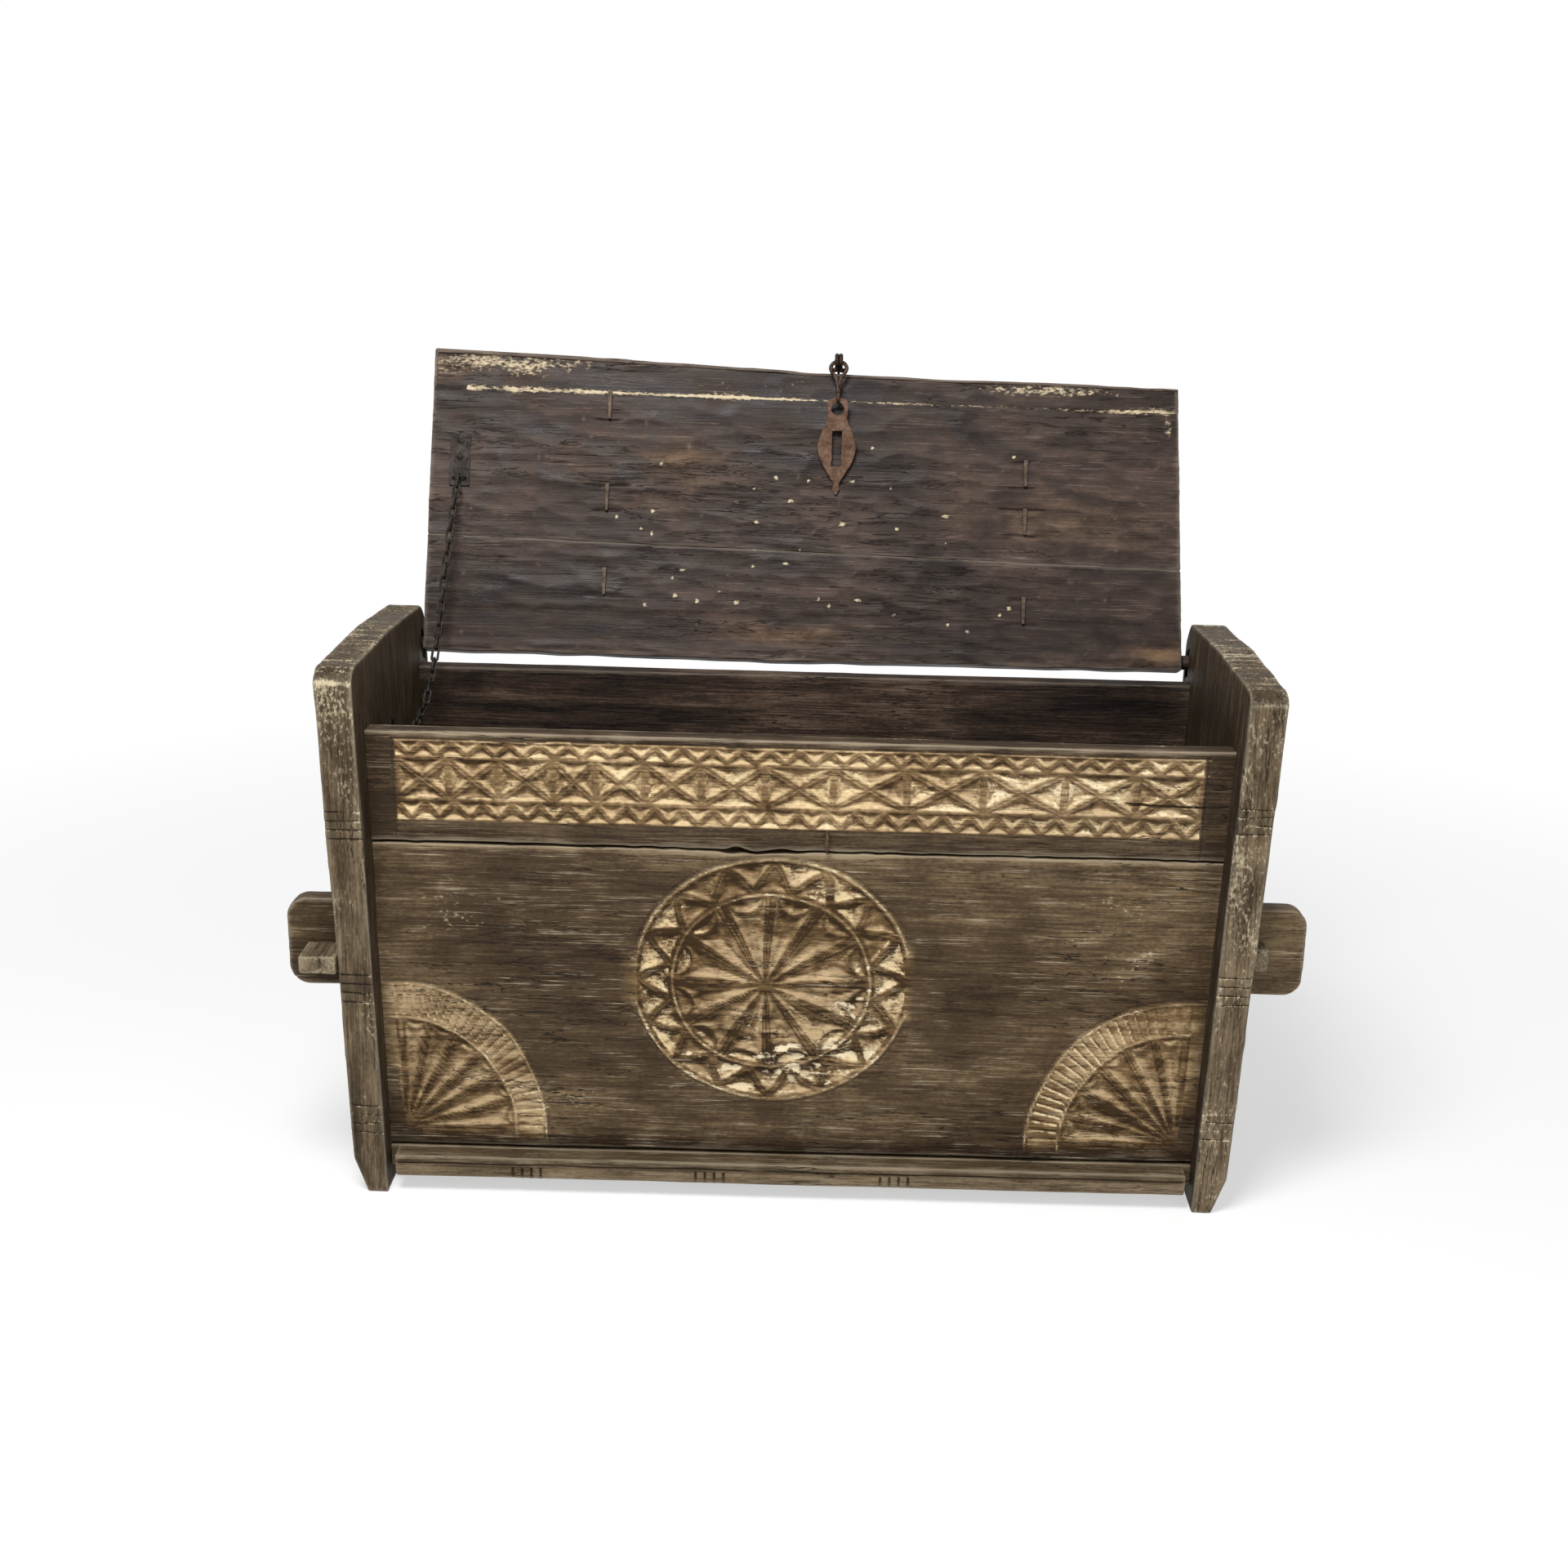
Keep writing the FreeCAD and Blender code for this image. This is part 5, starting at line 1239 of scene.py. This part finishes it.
under_lid = lid_spot(hasp_x, 0, 0)
to_pivots = under_lid - lid_spot(hasp_x, 1, 0)
below = under_lid - lid_spot(hasp_x, 0, 1)
leaf_turn = math.asin((np.dot(leaf_top - under_lid, below) - leaf_gap) / leaf_length)
leaf_way = to_pivots * math.cos(leaf_turn) - below * math.sin(leaf_turn)
leaf_flat = np.cross(across, leaf_way)
rows = np.unique(np.concatenate([np.linspace(leaf_start, leaf_length, 88),
                                 [eye_hole - eye_hole_radius, eye_hole + eye_hole_radius],
                                 [end + step for end in slot_ends for step in (-0.15, 0.15)]]))
leaf = bmesh.new()
for side in (-1, 1):
    steps = len(rows) - 1
    made = bmesh.ops.create_grid(leaf, x_segments=leaf_columns - 1, y_segments=steps, size=0.5)["verts"]
    for vert in made:
        row = rows[int(round((vert.co.y + 0.5) * steps))]
        half = flowing(row, leaf_outline)
        hole = math.sqrt(max(0, eye_hole_radius ** 2 - (row - eye_hole) ** 2))
        if slot_ends[0] < row < slot_ends[1]:
            hole = slot_half_width
        vert.co = (side * (hole + (half - hole) * (vert.co.x + 0.5)), row, 0)
bmesh.ops.remove_doubles(leaf, verts=leaf.verts, dist=0.02)
bmesh.ops.dissolve_degenerate(leaf, edges=leaf.edges, dist=0.02)
bmesh.ops.recalc_face_normals(leaf, faces=leaf.faces)
bmesh.ops.solidify(leaf, geom=leaf.faces[:], thickness=leaf_thickness * 0.86)
sharp = [edge for edge in leaf.edges if len(edge.link_faces) == 2 and edge.calc_face_angle() > 1.0]
bmesh.ops.bevel(leaf, geom=sharp, offset=0.5, segments=2, affect="EDGES", profile=0.5, material=-1)
levels = [vert.co.z for vert in leaf.verts]
sunk = (min(levels) + max(levels)) / 2
leaf_origin = np.array([hasp_x, leaf_top[1], leaf_top[2]])
for vert in leaf.verts:
    vert.co = Vector(leaf_origin + across * vert.co.x + leaf_way * vert.co.y + leaf_flat * (vert.co.z - sunk))
# Forged plate and bar: warm brown rust all over, a little paler on the dents' rims
forged_iron = old_iron("forged_iron", "#32261e", "#553f31", "#755d4c", 0.58)
fitted("hasp_leaf_iron", [forged("hasp_leaf", leaf, 321, 0.3)], forged_iron, "hasp_leaf",
       "hasp_leaf")

# Lock staple: a bar bent square and driven into the frieze, where the leaf's slot passes over it.
# Wrought iron, hammered and rusted.
staple_height = 450.0
staple_half = 10.0
staple_reach = 8.0
staple_root = 20.0
staple_wire = 2.4


# A bar's route with each inner corner bent round
def bent(corners, radius):
    corners = [np.array(corner, float) for corner in corners]
    route = [corners[0]]
    for before, corner, after in zip(corners[:-2], corners[1:-1], corners[2:]):
        came = (before - corner) / np.linalg.norm(before - corner)
        goes = (after - corner) / np.linalg.norm(after - corner)
        route += [corner + radius * ((1 - math.cos(turn)) * goes + (1 - math.sin(turn)) * came)
                  for turn in np.linspace(0, math.pi / 2, 5)]
    return route + [corners[-1]]


staple_corners = [(hasp_x, depth, staple_height + step)
                  for depth, step in ((staple_root, staple_half), (-staple_reach, staple_half),
                                      (-staple_reach, -staple_half), (staple_root, -staple_half))]
staple = drawn_bar(bent(staple_corners, 6.5), staple_wire, 12)
fitted("lock_staple_iron", [forged("lock_staple", staple, 331, 0.2)], forged_iron, "chest",
       "lock_staple")

# Stay chain: oval links of drawn wire from an eyed plate on the lid to one on the left end board.
# Four links together turn on the next four, as the solids do. Dark iron, rubbed where links touch.
stretches = 7
links_in_stretch = 4
chain_radius = 3.8
chain_wire = 1.65
link_play = 3.5
plate_x = -459.0
plate_run = 206.5
plate_length = 66.0
plate_half = 13.0
plate_border = 1.0
plate_eye_run = 217.0
plate_eye_half = 8.0
plate_eye_drop = 7.3
plate_eye_wire = 1.5

# Drawn wire: blackened, with a dull shine
chain_iron = old_iron("chain_iron", "#171412", "#2b2622", "#4a433d", 0.55)
chain_spots = [joint_spot("chain_swing_%d" % (number + 1)) for number in range(stretches)]
# Every stretch is as long as the first, and the last one's box gives its way
first_stretch = chain_spots[1] - chain_spots[0]
last_stretch = (sum(block("stay_chain_%d" % stretches)) / 2 - chain_spots[-1]) * (0, 1, 1)
last_stretch *= np.hypot(first_stretch[1], first_stretch[2]) / np.linalg.norm(last_stretch)
last_stretch[0] = first_stretch[0]
chain_spots.append(chain_spots[-1] + last_stretch)
for number, (start, end) in enumerate(zip(chain_spots[:-1], chain_spots[1:]), 1):
    way = (end - start) / np.linalg.norm(end - start)
    upright = np.cross(across, way)
    upright /= np.linalg.norm(upright)
    level = np.cross(way, upright)
    pitch = np.linalg.norm(end - start) / links_in_stretch
    links = []
    for link in range(links_in_stretch):
        middle = start + way * pitch * link
        side = upright if link % 2 == 0 else level
        oval = iron_ring(middle, chain_radius, chain_wire, np.cross(way, side), 16, 8)
        for vert in oval.verts:
            if (vert.co - Vector(middle)).dot(Vector(way)) > 0.01:
                vert.co += Vector(way) * (pitch - link_play)
        links.append(forged("chain_link", oval, 341, 0.08))
    name = "stay_chain_%d" % number
    fitted(name + "_iron", links, chain_iron, "chain_%d" % number, name)


# The plate has a raised border round a sunk field
def pressed(places, outward):
    x, back, _ = places.T
    field = np.minimum(plate_half - np.abs(x - plate_x) - plate_border,
                       np.minimum(-back - plate_run, plate_run + plate_length + back))
    sunk = 0.5 * soft_step(field, 2, 3) * (outward[:, 2] < -0.6)
    return {"height": 0.5 * unevenness(places, (12, 12, 12), 351) - sunk}


plate = timber("lid_plate", (plate_x - plate_half, -plate_run - plate_length, -1.9),
               (plate_x + plate_half, -plate_run, 0.2), (1.6, 2, 1), 0.6, pressed, laid_open, 351)
eye_corners = [lid_spot(plate_x + step, plate_eye_run, rise)
               for step, rise in ((-plate_eye_half, 0), (-plate_eye_half, -plate_eye_drop),
                                  (plate_eye_half, -plate_eye_drop), (plate_eye_half, 0))]
plate_eye = forged("plate_eye", drawn_bar(bent(eye_corners, 4.5), plate_eye_wire), 352, 0.1)
fitted("lid_chain_plate_iron", [plate, plate_eye], chain_iron, "lid", "lid_chain_plate")
for node in ("wall_chain_plate", "lid_chain_screws", "wall_chain_screws"):
    frame["nodes"][node].data.materials.clear()
    frame["nodes"][node].data.materials.append(chain_iron)

# Studio: a pale floor under the feet, soft lamps above and in front, and a white surround.
# The camera stands where the photograph was taken from. Sizes here are metres.
floor_mesh = bpy.data.meshes.new("studio_floor")
ground = bmesh.new()
bmesh.ops.create_grid(ground, x_segments=1, y_segments=1, size=30)
ground.to_mesh(floor_mesh)
ground.free()
floor = bpy.data.objects.new("studio_floor", floor_mesh)
bpy.context.scene.collection.objects.link(floor)


def seen_directly(tree):
    path = add(tree, "LightPath").outputs
    share = path["Is Camera Ray"]
    for ray in ("Is Glossy Ray", "Is Transmission Ray"):
        share = add(tree, "Math", {0: share, 1: path[ray]}, operation="MAXIMUM").outputs[0]
    return share


# Matt paper that takes the chest's shadow near its feet and turns pure white further out
paper, tree = bare_material("white_paper")
matt = add(tree, "BsdfDiffuse", {"Color": linear("#f4f4f4")})
glow = add(tree, "Emission", {"Color": linear("#ffffff"), "Strength": 1.0})
place = add(tree, "TexCoord").outputs["Object"]
away = add(tree, "VectorMath", {0: place}, operation="LENGTH").outputs["Value"]
share = add(tree, "MapRange", {0: away, 1: 0.7, 2: 2.2, 3: 0.55, 4: 1.0}).outputs[0]
share = add(tree, "Math", {0: seen_directly(tree), 1: share}, operation="MULTIPLY").outputs[0]
mixed = add(tree, "MixShader", {0: share, 1: matt.outputs[0], 2: glow.outputs[0]})
add(tree, "OutputMaterial", {"Surface": mixed.outputs[0]})
floor_mesh.materials.append(paper)
world = bpy.data.worlds.new("studio")
bpy.context.scene.world = world
world.use_nodes = True
tree = world.node_tree
tree.nodes.clear()
level = add(tree, "MapRange", {0: seen_directly(tree), 1: 0.0, 2: 1.0, 3: 0.3, 4: 1.0}).outputs[0]
sky = add(tree, "Background", {"Color": linear("#ffffff"), "Strength": level})
add(tree, "OutputWorld", {"Surface": sky.outputs[0]})
aim = Vector((0, 0, 0.45))
for name, spot, size, power in (("key_lamp", (-0.55, -1.6, 3.0), 1.1, 110),
                                ("fill_lamp", (1.8, -2.7, 1.5), 1.5, 20)):
    lamp = bpy.data.lights.new(name, "AREA")
    lamp.size = size
    lamp.energy = power
    light = bpy.data.objects.new(name, lamp)
    light.location = spot
    light.rotation_mode = "QUATERNION"
    light.rotation_quaternion = (aim - Vector(spot)).to_track_quat("-Z", "Y")
    bpy.context.scene.collection.objects.link(light)
pitch, yaw, roll = math.radians(16.65), math.radians(-0.11), math.radians(1.45)
ahead = Vector((math.sin(yaw) * math.cos(pitch), math.cos(yaw) * math.cos(pitch), -math.sin(pitch)))
right = Vector((math.cos(yaw), -math.sin(yaw), 0))
above = right.cross(ahead)
rolled = right * math.cos(roll) + above * math.sin(roll)
upward = above * math.cos(roll) - right * math.sin(roll)
lens = bpy.data.cameras.new("photograph_view")
lens.sensor_width = 36
lens.lens = 48.894
lens.shift_x = -0.02252
lens.shift_y = 0.00445
camera = bpy.data.objects.new("photograph_view", lens)
stand = Matrix.Translation((0.02768, -2.59192, 1.21551))
camera.matrix_world = stand @ Matrix((rolled, upward, -ahead)).transposed().to_4x4()
bpy.context.scene.collection.objects.link(camera)
bpy.context.scene.camera = camera
bpy.context.scene.view_settings.view_transform = "Standard"
